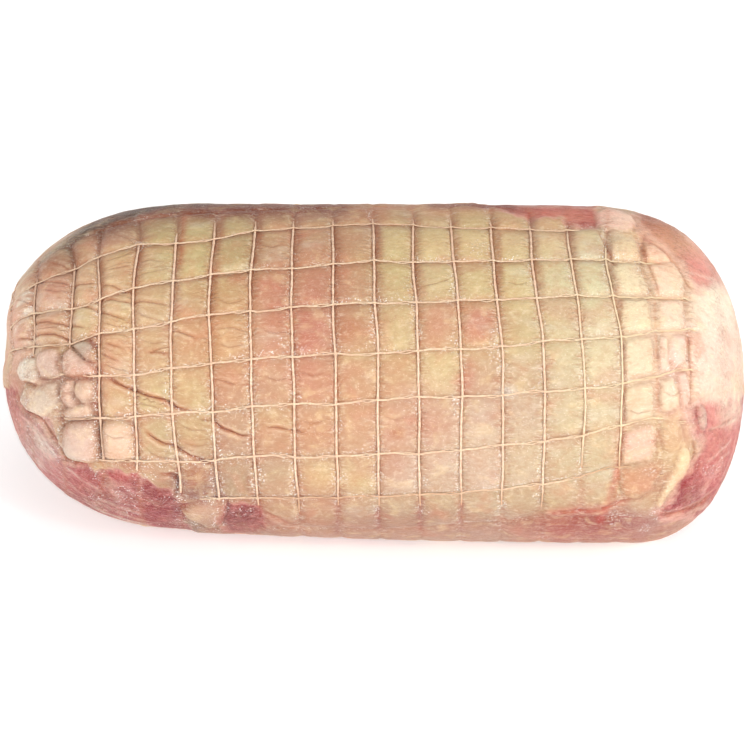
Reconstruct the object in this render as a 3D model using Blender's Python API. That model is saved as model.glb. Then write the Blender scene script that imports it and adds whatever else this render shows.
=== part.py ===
"""Boneless turkey roast: a long rounded roll of meat under its skin, held by
an elastic net and sealed in a clear tight film.

The sealed roast is one closed solid. Its form is a lofted body with a
shoulder and a belly, both ends domed, and the pillows that the meat makes
between the cords of the net. It lies on a flattened underside.

Metres. +X runs along the roast, +Z is up, the shown side faces -Y.
The origin is under the middle of the roast, on the surface it lies on.
"""
import math

import bmesh
import bpy

# ---- overall sizes ---------------------------------------------------------
LENGTH = 0.3010            # end to end
HALF_WIDTH = 0.0755        # middle line to the side, at the fullest section
HALF_TOP = 0.0655          # middle line to the crown
HALF_BOTTOM = 0.0625       # middle line to the belly, before it flattens
TAPER = 0.021              # the right half is this much fuller than the middle
FLAT_CUT = 0.0054          # how much of the belly is pressed flat
FLAT_BLEND = 0.0016        # softness of the edge of the flat

# ---- the two domed ends: reach, squareness, roundness at the tip -------------
LEFT_TOP = (0.1070, 2.85, 2.45)
LEFT_BOTTOM = (0.0640, 1.90, 2.45)
RIGHT_TOP = (0.1050, 4.60, 2.12)
RIGHT_BOTTOM = (0.0430, 1.95, 2.12)
LEFT_TIP_DROP = 0.0005     # how far each tip lies below the middle line
RIGHT_TIP_DROP = 0.0032
SAG_END = 0.0900           # length over which a tip drops
AXIS_TILT = -0.0033        # rise of the axis from the middle to the right end
AXIS_BOW = 0.0039          # lift of both ends against the middle

# ---- the net -------------------------------------------------------------------
STRANDS = 20               # cords that run lengthways
RING_PITCH = 0.0162        # distance between the cords that go round
FIRST_RING_X = 0.0013      # a ring close to the middle
STRAND_OFFSET = math.radians(-6.0)
TWIST = math.radians(8.6) / 0.100
RING_LEAN = 0.0022         # how far the crown of a ring leans to the left
RING_GROOVE = 0.0032       # depth of the furrow under a ring
STRAND_GROOVE = 0.0017     # depth of the furrow under a strand
SHOULDER = 0.22            # part of a cell that its slope takes up on a side
SWELL = 0.0007             # how much one pillow differs from the next
POLE_MARGIN = 0.0085       # the net stops this far from a tip

# ---- the crease across the left end, between two lobes of meat ----------------
CREASE_DEPTH = 0.0042
CREASE_HEIGHT = 0.0620     # above the belly, before it flattens
CREASE_WIDTH = 0.0045
CREASE_RUN = 0.0340        # how far it reaches in from the tip

COLOR = (0.72, 0.50, 0.36, 1.0)
ROUGHNESS = 0.28


def dome(distance, reach, squareness, roundness):
    """Section scale at a distance from a tip: 0 at the tip, 1 past reach."""
    w = min(1.0, max(0.0, 1.0 - distance / reach))
    return max(0.0, 1.0 - w ** squareness) ** (1.0 / roundness)


def scale_top(x):
    return (dome(x + LENGTH / 2, *LEFT_TOP)
            * dome(LENGTH / 2 - x, *RIGHT_TOP))


def scale_bottom(x):
    return (dome(x + LENGTH / 2, *LEFT_BOTTOM)
            * dome(LENGTH / 2 - x, *RIGHT_BOTTOM))


def axis_height(x):
    left = max(0.0, 1.0 - (x + LENGTH / 2) / SAG_END)
    right = max(0.0, 1.0 - (LENGTH / 2 - x) / SAG_END)
    t = x / (LENGTH / 2)
    return (HALF_BOTTOM - LEFT_TIP_DROP * left ** 2
            - RIGHT_TIP_DROP * right ** 2 + AXIS_TILT * t + AXIS_BOW * t * t)


def section_point(x, around):
    """Point of the plain body. around is 0 at the crown and grows to -Y."""
    grow = 1.0 + TAPER * x / (LENGTH / 2)
    top, bottom = scale_top(x), scale_bottom(x)
    c = math.cos(around)
    half = HALF_TOP * top if c >= 0.0 else HALF_BOTTOM * bottom
    y = -HALF_WIDTH * 0.5 * (top + bottom) * grow * math.sin(around)
    return (x, y, axis_height(x) + half * grow * c)


def meridian():
    """Stations from tip to tip with the length of the profile up to each."""
    count = 600
    stations = []
    length = 0.0
    last = None
    for i in range(count + 1):
        x = -LENGTH / 2 * math.cos(math.pi * i / count)
        r = 0.5 * (HALF_TOP * scale_top(x) + HALF_BOTTOM * scale_bottom(x))
        if last is not None:
            length += math.hypot(x - last[0], r - last[1])
        stations.append((length, x))
        last = (x, r)
    return stations


MERIDIAN = meridian()


def interpolate(table, key, into):
    """Value of the other column where column `key` of the table is `into`."""
    lo, hi = 0, len(table) - 1
    while hi - lo > 1:
        mid = (lo + hi) // 2
        if table[mid][key] <= into:
            lo = mid
        else:
            hi = mid
    a, b = table[lo], table[hi]
    t = (into - a[key]) / (b[key] - a[key])
    t = min(1.0, max(0.0, t))
    return a[1 - key] + t * (b[1 - key] - a[1 - key])


def ring_stations():
    """Profile lengths of all rings of the net, from left to right."""
    total = MERIDIAN[-1][0]
    first = interpolate(MERIDIAN, 1, FIRST_RING_X)
    back = int((first - POLE_MARGIN) / RING_PITCH)
    start = first - back * RING_PITCH
    rings = []
    s = start
    while s < total - POLE_MARGIN:
        rings.append(s)
        s += RING_PITCH
    return rings


def lump(ring, strand):
    """Fixed unevenness of a pillow, between -1 and 1."""
    return (0.55 * math.sin(1.7 * ring + 2.3 * strand)
            + 0.45 * math.sin(2.9 * ring - 1.1 * strand + 0.7))


def crease(x, z):
    run = min(1.0, max(0.0, (x + LENGTH / 2) / CREASE_RUN))
    fade = (1.0 - run) ** 1.5
    across = (z - CREASE_HEIGHT - 0.10 * (x + LENGTH / 2)) / CREASE_WIDTH
    return CREASE_DEPTH * fade * math.exp(-across * across)


def press_flat(z):
    """Height above the surface once the belly is pressed on it."""
    h = z - FLAT_CUT
    if h >= FLAT_BLEND:
        return h
    if h <= -FLAT_BLEND:
        return 0.0
    return (h + FLAT_BLEND) ** 2 / (4.0 * FLAT_BLEND)


def surface_point(s, around, relief):
    """Point of the body at a profile length, moved out by the relief."""
    total = MERIDIAN[-1][0]
    s -= RING_LEAN * math.cos(around) * math.sin(math.pi * s / total) ** 2
    x0 = interpolate(MERIDIAN, 0, s)
    p = section_point(x0, around)
    # outward direction from neighbouring points of the plain body
    ds = 0.0006
    xa = interpolate(MERIDIAN, 0, max(0.0, s - ds))
    xb = interpolate(MERIDIAN, 0, min(total, s + ds))
    a, b = section_point(xa, around), section_point(xb, around)
    c, d = section_point(x0, around - 0.01), section_point(x0, around + 0.01)
    u = [b[i] - a[i] for i in range(3)]
    v = [d[i] - c[i] for i in range(3)]
    n = [u[1] * v[2] - u[2] * v[1],
         u[2] * v[0] - u[0] * v[2],
         u[0] * v[1] - u[1] * v[0]]
    size = math.sqrt(sum(k * k for k in n)) or 1.0
    n = [k / size for k in n]
    # u runs to +X and v runs round from the crown to -Y: out is -(u x v)
    if n[1] * p[1] + n[2] * (p[2] - axis_height(x0)) < 0.0:
        n = [-k for k in n]
    relief -= crease(p[0], p[2])
    q = [p[i] + relief * n[i] for i in range(3)]
    return (q[0], q[1], press_flat(q[2]))


def build_rows():
    """Rows of points from tip to tip, one row on each furrow and shoulder."""
    rings = ring_stations()
    total = MERIDIAN[-1][0]
    middle_x = 0.014
    fractions = (0.0, SHOULDER, 1.0 - SHOULDER)
    stations = []
    # from the left tip to the first ring
    stations.append((rings[0] * 0.55, -1, 0.5))
    for k, s in enumerate(rings):
        stations.append((s, k, 0.0))
        nxt = rings[k + 1] if k + 1 < len(rings) else None
        if nxt is not None:
            for f in fractions[1:]:
                stations.append((s + f * (nxt - s), k, f))
    stations.append((total - (total - rings[-1]) * 0.55, len(rings), 0.5))

    rows = []
    for s, ring, u in stations:
        x = interpolate(MERIDIAN, 0, s)
        depth_scale = min(1.0, (0.5 * (scale_top(x) + scale_bottom(x))) ** 0.7
                          * 1.1)
        on_ring = u == 0.0
        net = 0 <= ring < len(rings)
        row = []
        for j in range(STRANDS):
            for v in fractions:
                around = (STRAND_OFFSET + 2.0 * math.pi * (j + v) / STRANDS
                          - TWIST * (x - middle_x))
                on_strand = v == 0.0
                relief = 0.0
                if net:
                    if on_ring:
                        relief -= RING_GROOVE * depth_scale
                        if on_strand:
                            relief -= 0.25 * STRAND_GROOVE * depth_scale
                    elif on_strand:
                        relief -= STRAND_GROOVE * depth_scale
                    else:
                        relief += SWELL * lump(ring, j) * depth_scale
                row.append(surface_point(s, around, relief))
        rows.append(row)
    height = axis_height(-LENGTH / 2)
    left = (-LENGTH / 2 + crease(-LENGTH / 2, height), 0.0,
            press_flat(height))
    right = (LENGTH / 2, 0.0, press_flat(axis_height(LENGTH / 2)))
    return left, rows, right


def make_roast(name):
    left, rows, right = build_rows()
    every = [left, right] + [p for row in rows for p in row]
    cx = 0.5 * (min(p[0] for p in every) + max(p[0] for p in every))
    cy = 0.5 * (min(p[1] for p in every) + max(p[1] for p in every))
    bm = bmesh.new()

    def put(p):
        return bm.verts.new((p[0] - cx, p[1] - cy, p[2]))

    tip_left = put(left)
    loops = [[put(p) for p in row] for row in rows]
    tip_right = put(right)
    count = len(loops[0])
    for a, b in zip(loops, loops[1:]):
        for j in range(count):
            k = (j + 1) % count
            # the shorter diagonal keeps the furrows clean
            p, q, r, s = a[j], a[k], b[k], b[j]
            if (p.co - r.co).length <= (q.co - s.co).length:
                bm.faces.new((p, q, r))
                bm.faces.new((p, r, s))
            else:
                bm.faces.new((p, q, s))
                bm.faces.new((q, r, s))
    for j in range(count):
        k = (j + 1) % count
        bm.faces.new((tip_left, loops[0][k], loops[0][j]))
        bm.faces.new((tip_right, loops[-1][j], loops[-1][k]))
    bmesh.ops.recalc_face_normals(bm, faces=bm.faces[:])
    mesh = bpy.data.meshes.new(name)
    bm.to_mesh(mesh)
    bm.free()
    mesh.shade_smooth()
    obj = bpy.data.objects.new(name, mesh)
    bpy.context.scene.collection.objects.link(obj)
    return obj


def make_material(name):
    mat = bpy.data.materials.new(name)
    mat.use_nodes = True
    shader = mat.node_tree.nodes["Principled BSDF"]
    shader.inputs["Base Color"].default_value = COLOR
    shader.inputs["Roughness"].default_value = ROUGHNESS
    shader.inputs["Metallic"].default_value = 0.0
    return mat


def main():
    for obj in list(bpy.data.objects):
        bpy.data.objects.remove(obj, do_unlink=True)
    roast = make_roast("roast_pack")
    roast.data.materials.append(make_material("roast_pack"))


main()
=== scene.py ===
"""Looks of a raw boneless turkey roast: skin and meat pressed into pillows by an
elastic net, and the clear tight film round it. Lengths are in millimetres
until a mesh is made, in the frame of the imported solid."""

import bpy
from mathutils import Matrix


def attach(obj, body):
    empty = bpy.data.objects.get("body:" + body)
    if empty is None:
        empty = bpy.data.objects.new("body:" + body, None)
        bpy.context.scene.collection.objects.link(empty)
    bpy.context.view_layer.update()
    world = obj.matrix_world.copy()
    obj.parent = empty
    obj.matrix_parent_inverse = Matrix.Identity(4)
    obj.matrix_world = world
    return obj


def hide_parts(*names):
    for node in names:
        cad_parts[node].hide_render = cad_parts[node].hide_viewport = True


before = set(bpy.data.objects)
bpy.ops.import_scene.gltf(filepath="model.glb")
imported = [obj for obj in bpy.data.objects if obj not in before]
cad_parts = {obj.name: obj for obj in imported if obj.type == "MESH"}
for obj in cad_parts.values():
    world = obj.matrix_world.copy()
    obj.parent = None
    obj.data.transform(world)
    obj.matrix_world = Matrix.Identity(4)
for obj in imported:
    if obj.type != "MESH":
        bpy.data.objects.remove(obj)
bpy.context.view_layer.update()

import math

import bpy
import numpy as np
from mathutils import Vector

MM = 0.001

# ---- the plain body, as the solid has it ------------------------------------
LENGTH = 301.0
HALF_WIDTH = 75.5
HALF_TOP = 65.5
HALF_BOTTOM = 62.5
TAPER = 0.021
FLAT_CUT = 5.4
FLAT_BLEND = 1.6
LEFT_TOP = (107.0, 2.85, 2.45)
LEFT_BOTTOM = (64.0, 1.90, 2.45)
RIGHT_TOP = (105.0, 4.60, 2.12)
RIGHT_BOTTOM = (43.0, 1.95, 2.12)
LEFT_TIP_DROP = 0.5
RIGHT_TIP_DROP = 3.2
SAG_END = 90.0
AXIS_TILT = -3.3
AXIS_BOW = 3.9

# ---- the net ----------------------------------------------------------------
STRANDS = 20
RING_PITCH = 16.2
FIRST_RING_X = 1.3
POLE_MARGIN = 8.5
STRAND_OFFSET = -6.0           # degrees round from the crown, strand 0
TWIST = 0.086                  # degrees for each millimetre
RING_LEAN = 2.2
RING_R = 0.415                  # radius of the cords that go round
THREAD_R = 0.205               # radius of one thread of the lengthways pairs
FIRST_RING, LAST_RING = 1, 20  # the net stops short of both tips

# ---- the view of the photograph ------------------------------------------------
PHOTO = 748.0
PX_PER_MM = 2.44
CAM_DIST = 1100.0
CAM_ELEV = math.radians(35.0)
AIM_Z = 56.6
FOCAL = PX_PER_MM * CAM_DIST

RNG = np.random.default_rng(20417)


# =============================================================================
# plain body
# =============================================================================
def dome(distance, reach, squareness, roundness):
    w = np.clip(1.0 - distance / reach, 0.0, 1.0)
    return np.maximum(0.0, 1.0 - w ** squareness) ** (1.0 / roundness)


def scale_top(x):
    return (dome(x + LENGTH / 2, *LEFT_TOP) * dome(LENGTH / 2 - x, *RIGHT_TOP))


def scale_bottom(x):
    return (dome(x + LENGTH / 2, *LEFT_BOTTOM)
            * dome(LENGTH / 2 - x, *RIGHT_BOTTOM))


def axis_height(x):
    left = np.maximum(0.0, 1.0 - (x + LENGTH / 2) / SAG_END)
    right = np.maximum(0.0, 1.0 - (LENGTH / 2 - x) / SAG_END)
    t = x / (LENGTH / 2)
    return (HALF_BOTTOM - LEFT_TIP_DROP * left ** 2
            - RIGHT_TIP_DROP * right ** 2 + AXIS_TILT * t + AXIS_BOW * t * t)


MERIDIAN_X = -LENGTH / 2 * np.cos(np.linspace(0.0, math.pi, 6001))
MERIDIAN_R = 0.5 * (HALF_TOP * scale_top(MERIDIAN_X)
                    + HALF_BOTTOM * scale_bottom(MERIDIAN_X))
MERIDIAN_S = np.concatenate([[0.0], np.cumsum(np.hypot(
    np.diff(MERIDIAN_X), np.diff(MERIDIAN_R)))])
TOTAL = float(MERIDIAN_S[-1])


def x_of(s):
    return np.interp(s, MERIDIAN_S, MERIDIAN_X)


def s_of(x):
    return np.interp(x, MERIDIAN_X, MERIDIAN_S)


def body_point(s, a):
    """Point of the plain body; a is in radians from the crown towards -Y.
    Heights are above the belly before it is pressed flat."""
    x = x_of(s)
    grow = 1.0 + TAPER * x / (LENGTH / 2)
    top, bottom = scale_top(x), scale_bottom(x)
    c, sn = np.cos(a), np.sin(a)
    half = np.where(c >= 0.0, HALF_TOP * top, HALF_BOTTOM * bottom)
    y = -HALF_WIDTH * 0.5 * (top + bottom) * grow * sn
    z = axis_height(x) + half * grow * c
    return np.stack([x + 0.0 * a, y, z], -1)


def body_normal(s, a):
    ds, da = 0.5, 0.006
    u = (body_point(np.minimum(s + ds, TOTAL), a)
         - body_point(np.maximum(s - ds, 0.0), a))
    v = body_point(s, a + da) - body_point(s, a - da)
    n = np.cross(v, u)
    size = np.linalg.norm(n, axis=-1, keepdims=True)
    n = n / np.maximum(size, 1e-9)
    p = body_point(s, a)
    side = n[..., 1] * p[..., 1] + n[..., 2] * (p[..., 2] - axis_height(p[..., 0]))
    return np.where(side[..., None] < 0.0, -n, n)


def press_flat(z):
    h = z - FLAT_CUT
    soft = (h + FLAT_BLEND) ** 2 / (4.0 * FLAT_BLEND)
    return np.where(h >= FLAT_BLEND, h, np.where(h <= -FLAT_BLEND, 0.0, soft))


# =============================================================================
# the photograph's camera
# =============================================================================
CE, SE = math.cos(CAM_ELEV), math.sin(CAM_ELEV)
CAM = np.array([0.0, -CAM_DIST * CE, AIM_Z + CAM_DIST * SE])


def project(p):
    """Pixels of points that are given above the surface they lie on."""
    d = p - CAM
    depth = d[..., 1] * CE - d[..., 2] * SE
    up = d[..., 1] * SE + d[..., 2] * CE
    return (PHOTO / 2 + FOCAL * d[..., 0] / depth,
            PHOTO / 2 - FOCAL * up / depth)


def above(p):
    q = p.copy()
    q[..., 2] = q[..., 2] - FLAT_CUT
    return q


def find_on_body(px, py):
    """Profile length and angle of the body points seen at given pixels."""
    px, py = np.atleast_1d(np.asarray(px, float)), np.atleast_1d(np.asarray(py, float))
    gs = np.linspace(2.0, TOTAL - 2.0, 190)
    ga = np.radians(np.linspace(-40.0, 150.0, 160))
    S, A = np.meshgrid(gs, ga, indexing="ij")
    P = above(body_point(S, A))
    N = body_normal(S, A)
    seen = ((CAM - P) * N).sum(-1) > 0.0
    U, V = project(P)
    out_s, out_a = np.zeros(px.size), np.zeros(px.size)
    for i in range(px.size):
        d = (U - px[i]) ** 2 + (V - py[i]) ** 2 + np.where(seen, 0.0, 1e6)
        j = np.unravel_index(np.argmin(d), d.shape)
        out_s[i], out_a[i] = S[j], A[j]
    for _ in range(12):
        u0, v0 = project(above(body_point(out_s, out_a)))
        u1, v1 = project(above(body_point(out_s + 0.2, out_a)))
        u2, v2 = project(above(body_point(out_s, out_a + 0.003)))
        a11, a21 = (u1 - u0) / 0.2, (v1 - v0) / 0.2
        a12, a22 = (u2 - u0) / 0.003, (v2 - v0) / 0.003
        det = a11 * a22 - a12 * a21
        det = np.where(np.abs(det) < 1.0, np.sign(det + 1e-12), det)
        ru, rv = px - u0, py - v0
        step_s = np.clip((a22 * ru - a12 * rv) / det, -4.0, 4.0)
        step_a = np.clip((a11 * rv - a21 * ru) / det, -0.06, 0.06)
        out_s = np.clip(out_s + 0.8 * step_s, 1.0, TOTAL - 1.0)
        out_a = np.clip(out_a + 0.8 * step_a, math.radians(-42), math.radians(152))
    return out_s, out_a


# =============================================================================
# where the cords of the net cross, read off the photograph in pixels
# =============================================================================
_first = float(s_of(FIRST_RING_X))
_start = _first - int((_first - POLE_MARGIN) / RING_PITCH) * RING_PITCH
RINGS = int((TOTAL - POLE_MARGIN - _start) / RING_PITCH) + 1
RING_S = _start + RING_PITCH * np.arange(RINGS)

# strand number: the ring that its first crossing is on, then the crossings
CROSSINGS = {
    0: (3, [(73, 268), (97, 256), (138, 245), (176, 243), (214, 238),
            (255, 231), (293, 228), (333, 225), (373, 224), (413, 225),
            (451, 227), (491, 228), (530, 229), (567, 230)]),
    1: (2, [(42, 321), (70, 308), (99, 299), (133, 288), (173, 280),
            (210, 275), (251, 270), (292, 267), (333, 264), (374, 261),
            (413, 261), (454, 261), (493, 261), (532, 259), (571, 259),
            (606, 260), (640, 262)]),
    2: (2, [(42, 350), (68, 343), (98, 334), (133, 329), (171, 321),
            (209, 315), (250, 311), (291, 307), (333, 305), (375, 302),
            (416, 302), (458, 301), (497, 299), (537, 297), (577, 296),
            (613, 296), (651, 297), (684, 299)]),
    3: (3, [(66, 375), (98, 376), (134, 374), (171, 369), (211, 364),
            (251, 358), (293, 357), (335, 354), (378, 353), (418, 351),
            (461, 349), (502, 346), (543, 342), (582, 339), (621, 336),
            (655, 332), (688, 330)]),
    4: (3, [(62, 419), (99, 418), (135, 417), (172, 414), (213, 411),
            (252, 407), (294, 405), (336, 403), (378, 400), (419, 398),
            (462, 396), (503, 395), (545, 392), (585, 388), (622, 384),
            (656, 377), (689, 369)]),
    5: (4, [(102, 461), (137, 462), (178, 462), (215, 460), (254, 457),
            (295, 457), (337, 456), (378, 455), (419, 453), (461, 449),
            (503, 446), (544, 441), (584, 434), (621, 426), (656, 418),
            (681, 412)]),
    6: (6, [(181, 502), (219, 499), (258, 499), (298, 498), (338, 498),
            (379, 497), (420, 494), (461, 493), (502, 489), (543, 483),
            (581, 477), (619, 467), (654, 457)]),
    7: (11, [(380, 530), (421, 528), (461, 524), (502, 521), (541, 517)]),
}


def net_fields():
    """Profile length and angle of every crossing of the net. What the
    photograph doesn't show goes on from what it does."""
    k = np.arange(RINGS)[:, None]
    j = np.arange(STRANDS)[None, :]
    x = x_of(RING_S)[:, None]
    plain_a = STRAND_OFFSET + 360.0 * j / STRANDS - TWIST * (x - 14.0)
    fade = np.sin(math.pi * RING_S / TOTAL)[:, None] ** 2
    plain_s = RING_S[:, None] - RING_LEAN * np.cos(np.radians(plain_a)) * fade
    ds = np.zeros((RINGS, STRANDS))
    da = np.zeros((RINGS, STRANDS))
    known = np.zeros((RINGS, STRANDS), bool)
    for strand, (ring, points) in CROSSINGS.items():
        s, a = find_on_body([p[0] for p in points], [p[1] for p in points])
        for i in range(len(points)):
            kk = ring + i
            if kk >= RINGS:
                break
            gap_s = s[i] - plain_s[kk, strand]
            gap_a = math.degrees(a[i]) - plain_a[kk, strand]
            if abs(gap_s) < 11.0 and abs(gap_a) < 14.0:
                ds[kk, strand], da[kk, strand] = gap_s, gap_a
                known[kk, strand] = True
    # the hidden side has an unevenness of its own
    wob_s = 0.9 * np.sin(1.3 * k + 0.9 * j) + 0.6 * np.sin(0.7 * k - 1.7 * j + 2.0)
    wob_a = 1.1 * np.sin(0.8 * k + 1.9 * j + 1.0) + 0.7 * np.sin(1.9 * k - 0.6 * j)
    for field, wobble in ((ds, wob_s), (da, wob_a)):
        held = field.copy()
        pull = 0.12
        for _ in range(500):
            up = np.vstack([field[:1], field[:-1]])
            down = np.vstack([field[1:], field[-1:]])
            new = (up + down + np.roll(field, 1, 1) + np.roll(field, -1, 1)
                   + pull * wobble) / (4.0 + pull)
            field[:] = np.where(known, held, new)
    s = plain_s + ds
    # rings keep their order and clear the tips
    s = np.clip(s, 6.0, TOTAL - 6.0)
    for i in range(1, RINGS):
        s[i] = np.maximum(s[i], s[i - 1] + 4.0)
    s = np.minimum(s, TOTAL - 5.0 - 4.0 * (RINGS - 1 - k))
    return s, plain_a - 360.0 * j / STRANDS + da


NET_S, NET_A = net_fields()


def catmull(t):
    """Weights of four neighbours at a place t between the middle two."""
    t2, t3 = t * t, t * t * t
    return (-0.5 * t3 + t2 - 0.5 * t, 1.5 * t3 - 2.5 * t2 + 1.0,
            -1.5 * t3 + 2.0 * t2 + 0.5 * t, 0.5 * t3 - 0.5 * t2)


def on_net(p, q):
    """Profile length and angle at net coordinates: p counts rings, q strands.
    p of -1 is the left tip and p of RINGS the right tip."""
    p, q = np.broadcast_arrays(np.asarray(p, float), np.asarray(q, float))
    pc = np.clip(p, 0.0, RINGS - 1.0)
    i = np.minimum(np.floor(pc).astype(int), RINGS - 2)
    wi = catmull(pc - i)
    j = np.floor(q).astype(int)
    wj = catmull(q - j)
    s, a = np.zeros(p.shape), np.zeros(p.shape)
    for di in range(4):
        row = i + di - 1
        # past the ends the fields go on straight
        lo = row < 0
        hi = row > RINGS - 1
        rc = np.clip(row, 0, RINGS - 1)
        for dj in range(4):
            col = (j + dj - 1) % STRANDS
            vs, va = NET_S[rc, col], NET_A[rc, col]
            vs = np.where(lo, 2 * NET_S[0, col] - NET_S[1, col], vs)
            va = np.where(lo, 2 * NET_A[0, col] - NET_A[1, col], va)
            vs = np.where(hi, 2 * NET_S[-1, col] - NET_S[-2, col], vs)
            va = np.where(hi, 2 * NET_A[-1, col] - NET_A[-2, col], va)
            w = wi[di] * wj[dj]
            s = s + w * vs
            a = a + w * va
    a = a + 360.0 * q / STRANDS
    left = np.clip(p + 1.0, 0.0, 1.0)
    right = np.clip(RINGS - p, 0.0, 1.0)
    s = np.where(p < 0.0, s * left, s)
    s = np.where(p > RINGS - 1.0, TOTAL - (TOTAL - s) * right, s)
    return s, np.radians(a)


# =============================================================================
# noise and small helpers
# =============================================================================
def hashed(ix, iy, iz, seed):
    h = (ix * 374761393 + iy * 668265263 + iz * 2147483647 + seed * 144665) & 0xFFFFFFFF
    h = ((h ^ (h >> 13)) * 1274126177) & 0xFFFFFFFF
    h = ((h ^ (h >> 16)) * 2246822519) & 0xFFFFFFFF
    return ((h ^ (h >> 15)) & 0xFFFFFF) / float(0xFFFFFF)


def noise(p, size, seed=0):
    """Smooth noise between -1 and 1, for points in millimetres."""
    g = np.asarray(p) / size
    i = np.floor(g).astype(np.int64)
    f = g - i
    f = f * f * f * (f * (f * 6 - 15) + 10)
    total = 0.0
    for dx in (0, 1):
        for dy in (0, 1):
            for dz in (0, 1):
                w = (np.where(dx, f[..., 0], 1 - f[..., 0])
                     * np.where(dy, f[..., 1], 1 - f[..., 1])
                     * np.where(dz, f[..., 2], 1 - f[..., 2]))
                total = total + w * hashed(i[..., 0] + dx, i[..., 1] + dy,
                                           i[..., 2] + dz, seed)
    return 2.0 * total - 1.0


def fractal(p, size, seed=0, octaves=3, gain=0.5):
    out, amp, norm = 0.0, 1.0, 0.0
    for o in range(octaves):
        out = out + amp * noise(p, size / 2 ** o, seed + 17 * o)
        norm += amp
        amp *= gain
    return out / norm


def smooth(x, lo, hi):
    t = np.clip((x - lo) / (hi - lo), 0.0, 1.0)
    return t * t * (3.0 - 2.0 * t)


def line_distance(px, py, line):
    """Least distance in pixels to a run of straight pieces, and how far
    along the run, from 0 to 1, the nearest place is."""
    best = np.full(px.shape, 1e9)
    along = np.zeros(px.shape)
    pts = np.asarray(line, float)
    lengths = np.hypot(*(pts[1:] - pts[:-1]).T)
    start = np.concatenate([[0.0], np.cumsum(lengths)])
    for i in range(len(pts) - 1):
        a, b = pts[i], pts[i + 1]
        d = b - a
        t = np.clip(((px - a[0]) * d[0] + (py - a[1]) * d[1]) / max(d @ d, 1e-9), 0, 1)
        r = np.hypot(px - a[0] - t * d[0], py - a[1] - t * d[1])
        near = r < best
        best = np.where(near, r, best)
        along = np.where(near, (start[i] + t * lengths[i]) / start[-1], along)
    return best, along


def depth_inside(px, py, ring):
    """Distance to a closed outline, above 0 inside it and below 0 outside."""
    pts = list(ring) + [ring[0]]
    r, _ = line_distance(px, py, pts)
    odd = np.zeros(px.shape, bool)
    for (x0, y0), (x1, y1) in zip(pts[:-1], pts[1:]):
        cross = (y0 > py) != (y1 > py)
        at = x0 + (py - y0) / (y1 - y0 if y1 != y0 else 1e-9) * (x1 - x0)
        odd ^= cross & (px < at)
    return np.where(odd, r, -r)


def inside(px, py, ring, soft):
    """1 well inside a closed outline, 0 well outside, over a soft edge."""
    return smooth(depth_inside(px, py, ring), -soft, soft)


def blob(px, py, x, y, rx, ry, turn=0.0):
    c, s = math.cos(math.radians(turn)), math.sin(math.radians(turn))
    u = ((px - x) * c + (py - y) * s) / rx
    v = (-(px - x) * s + (py - y) * c) / ry
    return np.exp(-(u * u + v * v) ** 1.5)


# =============================================================================
# relief of the meat between the cords
# =============================================================================
def cell_noise(i, j, seed):
    return hashed(np.asarray(i, np.int64) + 40, (np.asarray(j, np.int64) % STRANDS),
                  np.zeros_like(np.asarray(i, np.int64)), seed) * 2.0 - 1.0


def plump(p, q):
    """1 at the lower right of the shown side, where the furrows are shallow."""
    return smooth(p, 9.0, 13.0) * smooth(q, 2.0, 4.0) * smooth(9.5 - q, 0.0, 2.0)


def ring_depth(p, q):
    """Depth of the furrow of the nearest ring."""
    k = np.round(p)
    base = 1.05 - 0.48 * plump(k, q)
    ends = 1.0 * smooth(6.0 - k, 0.0, 3.0) - 0.55 * smooth(k - 15.5, 0.0, 1.5)
    fade = smooth(k, 0.2, 2.0) * smooth(20.9 - k, 0.0, 1.6)
    return (base + ends) * fade


def strand_depth(p, q):
    fade = smooth(p, 0.3, 1.8) * smooth(20.6 - p, 0.0, 1.5)
    base = 0.75 - 0.32 * plump(p, q)
    ends = 0.5 * smooth(5.2 - p, 0.0, 3.0) + 0.1 * smooth(p - 16.5, 0.0, 3.0)
    return (base + ends) * fade


def cell_parts(p, q):
    u = p - np.floor(p)
    v = q - np.floor(q)
    to_ring = np.minimum(u, 1.0 - u) * RING_PITCH
    to_strand = np.minimum(v, 1.0 - v) * 20.5
    return u, v, to_ring, to_strand


def swell(p, q):
    u, v, _, _ = cell_parts(p, q)
    k, j = np.floor(p), np.floor(q)
    ends = 0.75 * smooth(5.5 - p, 0.0, 3.0) + 0.2 * smooth(p - 15.5, 0.0, 3.0)
    fade = smooth(p, 0.2, 2.0) * smooth(20.6 - p, 0.0, 1.6)
    high = 0.42 + 0.25 * cell_noise(k, j, 3) + ends
    tilt = 0.5 * cell_noise(k, j, 8) * (v - 0.5) + 0.5 * cell_noise(k, j, 9) * (u - 0.5)
    return (high * (1 - np.abs(2 * u - 1) ** 3) * (1 - np.abs(2 * v - 1) ** 4)
            + tilt * (1 - np.abs(2 * u - 1) ** 2)) * fade


def furrow(t, width, power=1.5):
    return 1.0 / (1.0 + (t / width) ** 2) ** power


def taut(facing):
    """How much of its relief the surface keeps: the film pulls it smooth
    along the upper and the lower edge of the shown side."""
    return 1.0 - 0.62 * np.exp(-((facing - 0.02) / 0.30) ** 2)


def meat_relief(p, q):
    _, _, to_ring, to_strand = cell_parts(p, q)
    g_ring = furrow(to_ring, 1.9)
    g_strand = furrow(to_strand, 1.5)
    return (swell(p, q) - ring_depth(p, q) * g_ring
            - strand_depth(p, q) * g_strand * (1.0 - 0.6 * g_ring))


def ring_height(p, q):
    return 0.66 - ring_depth(p, q)


def strand_height(p, q):
    return 0.40 - strand_depth(p, q)


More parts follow.
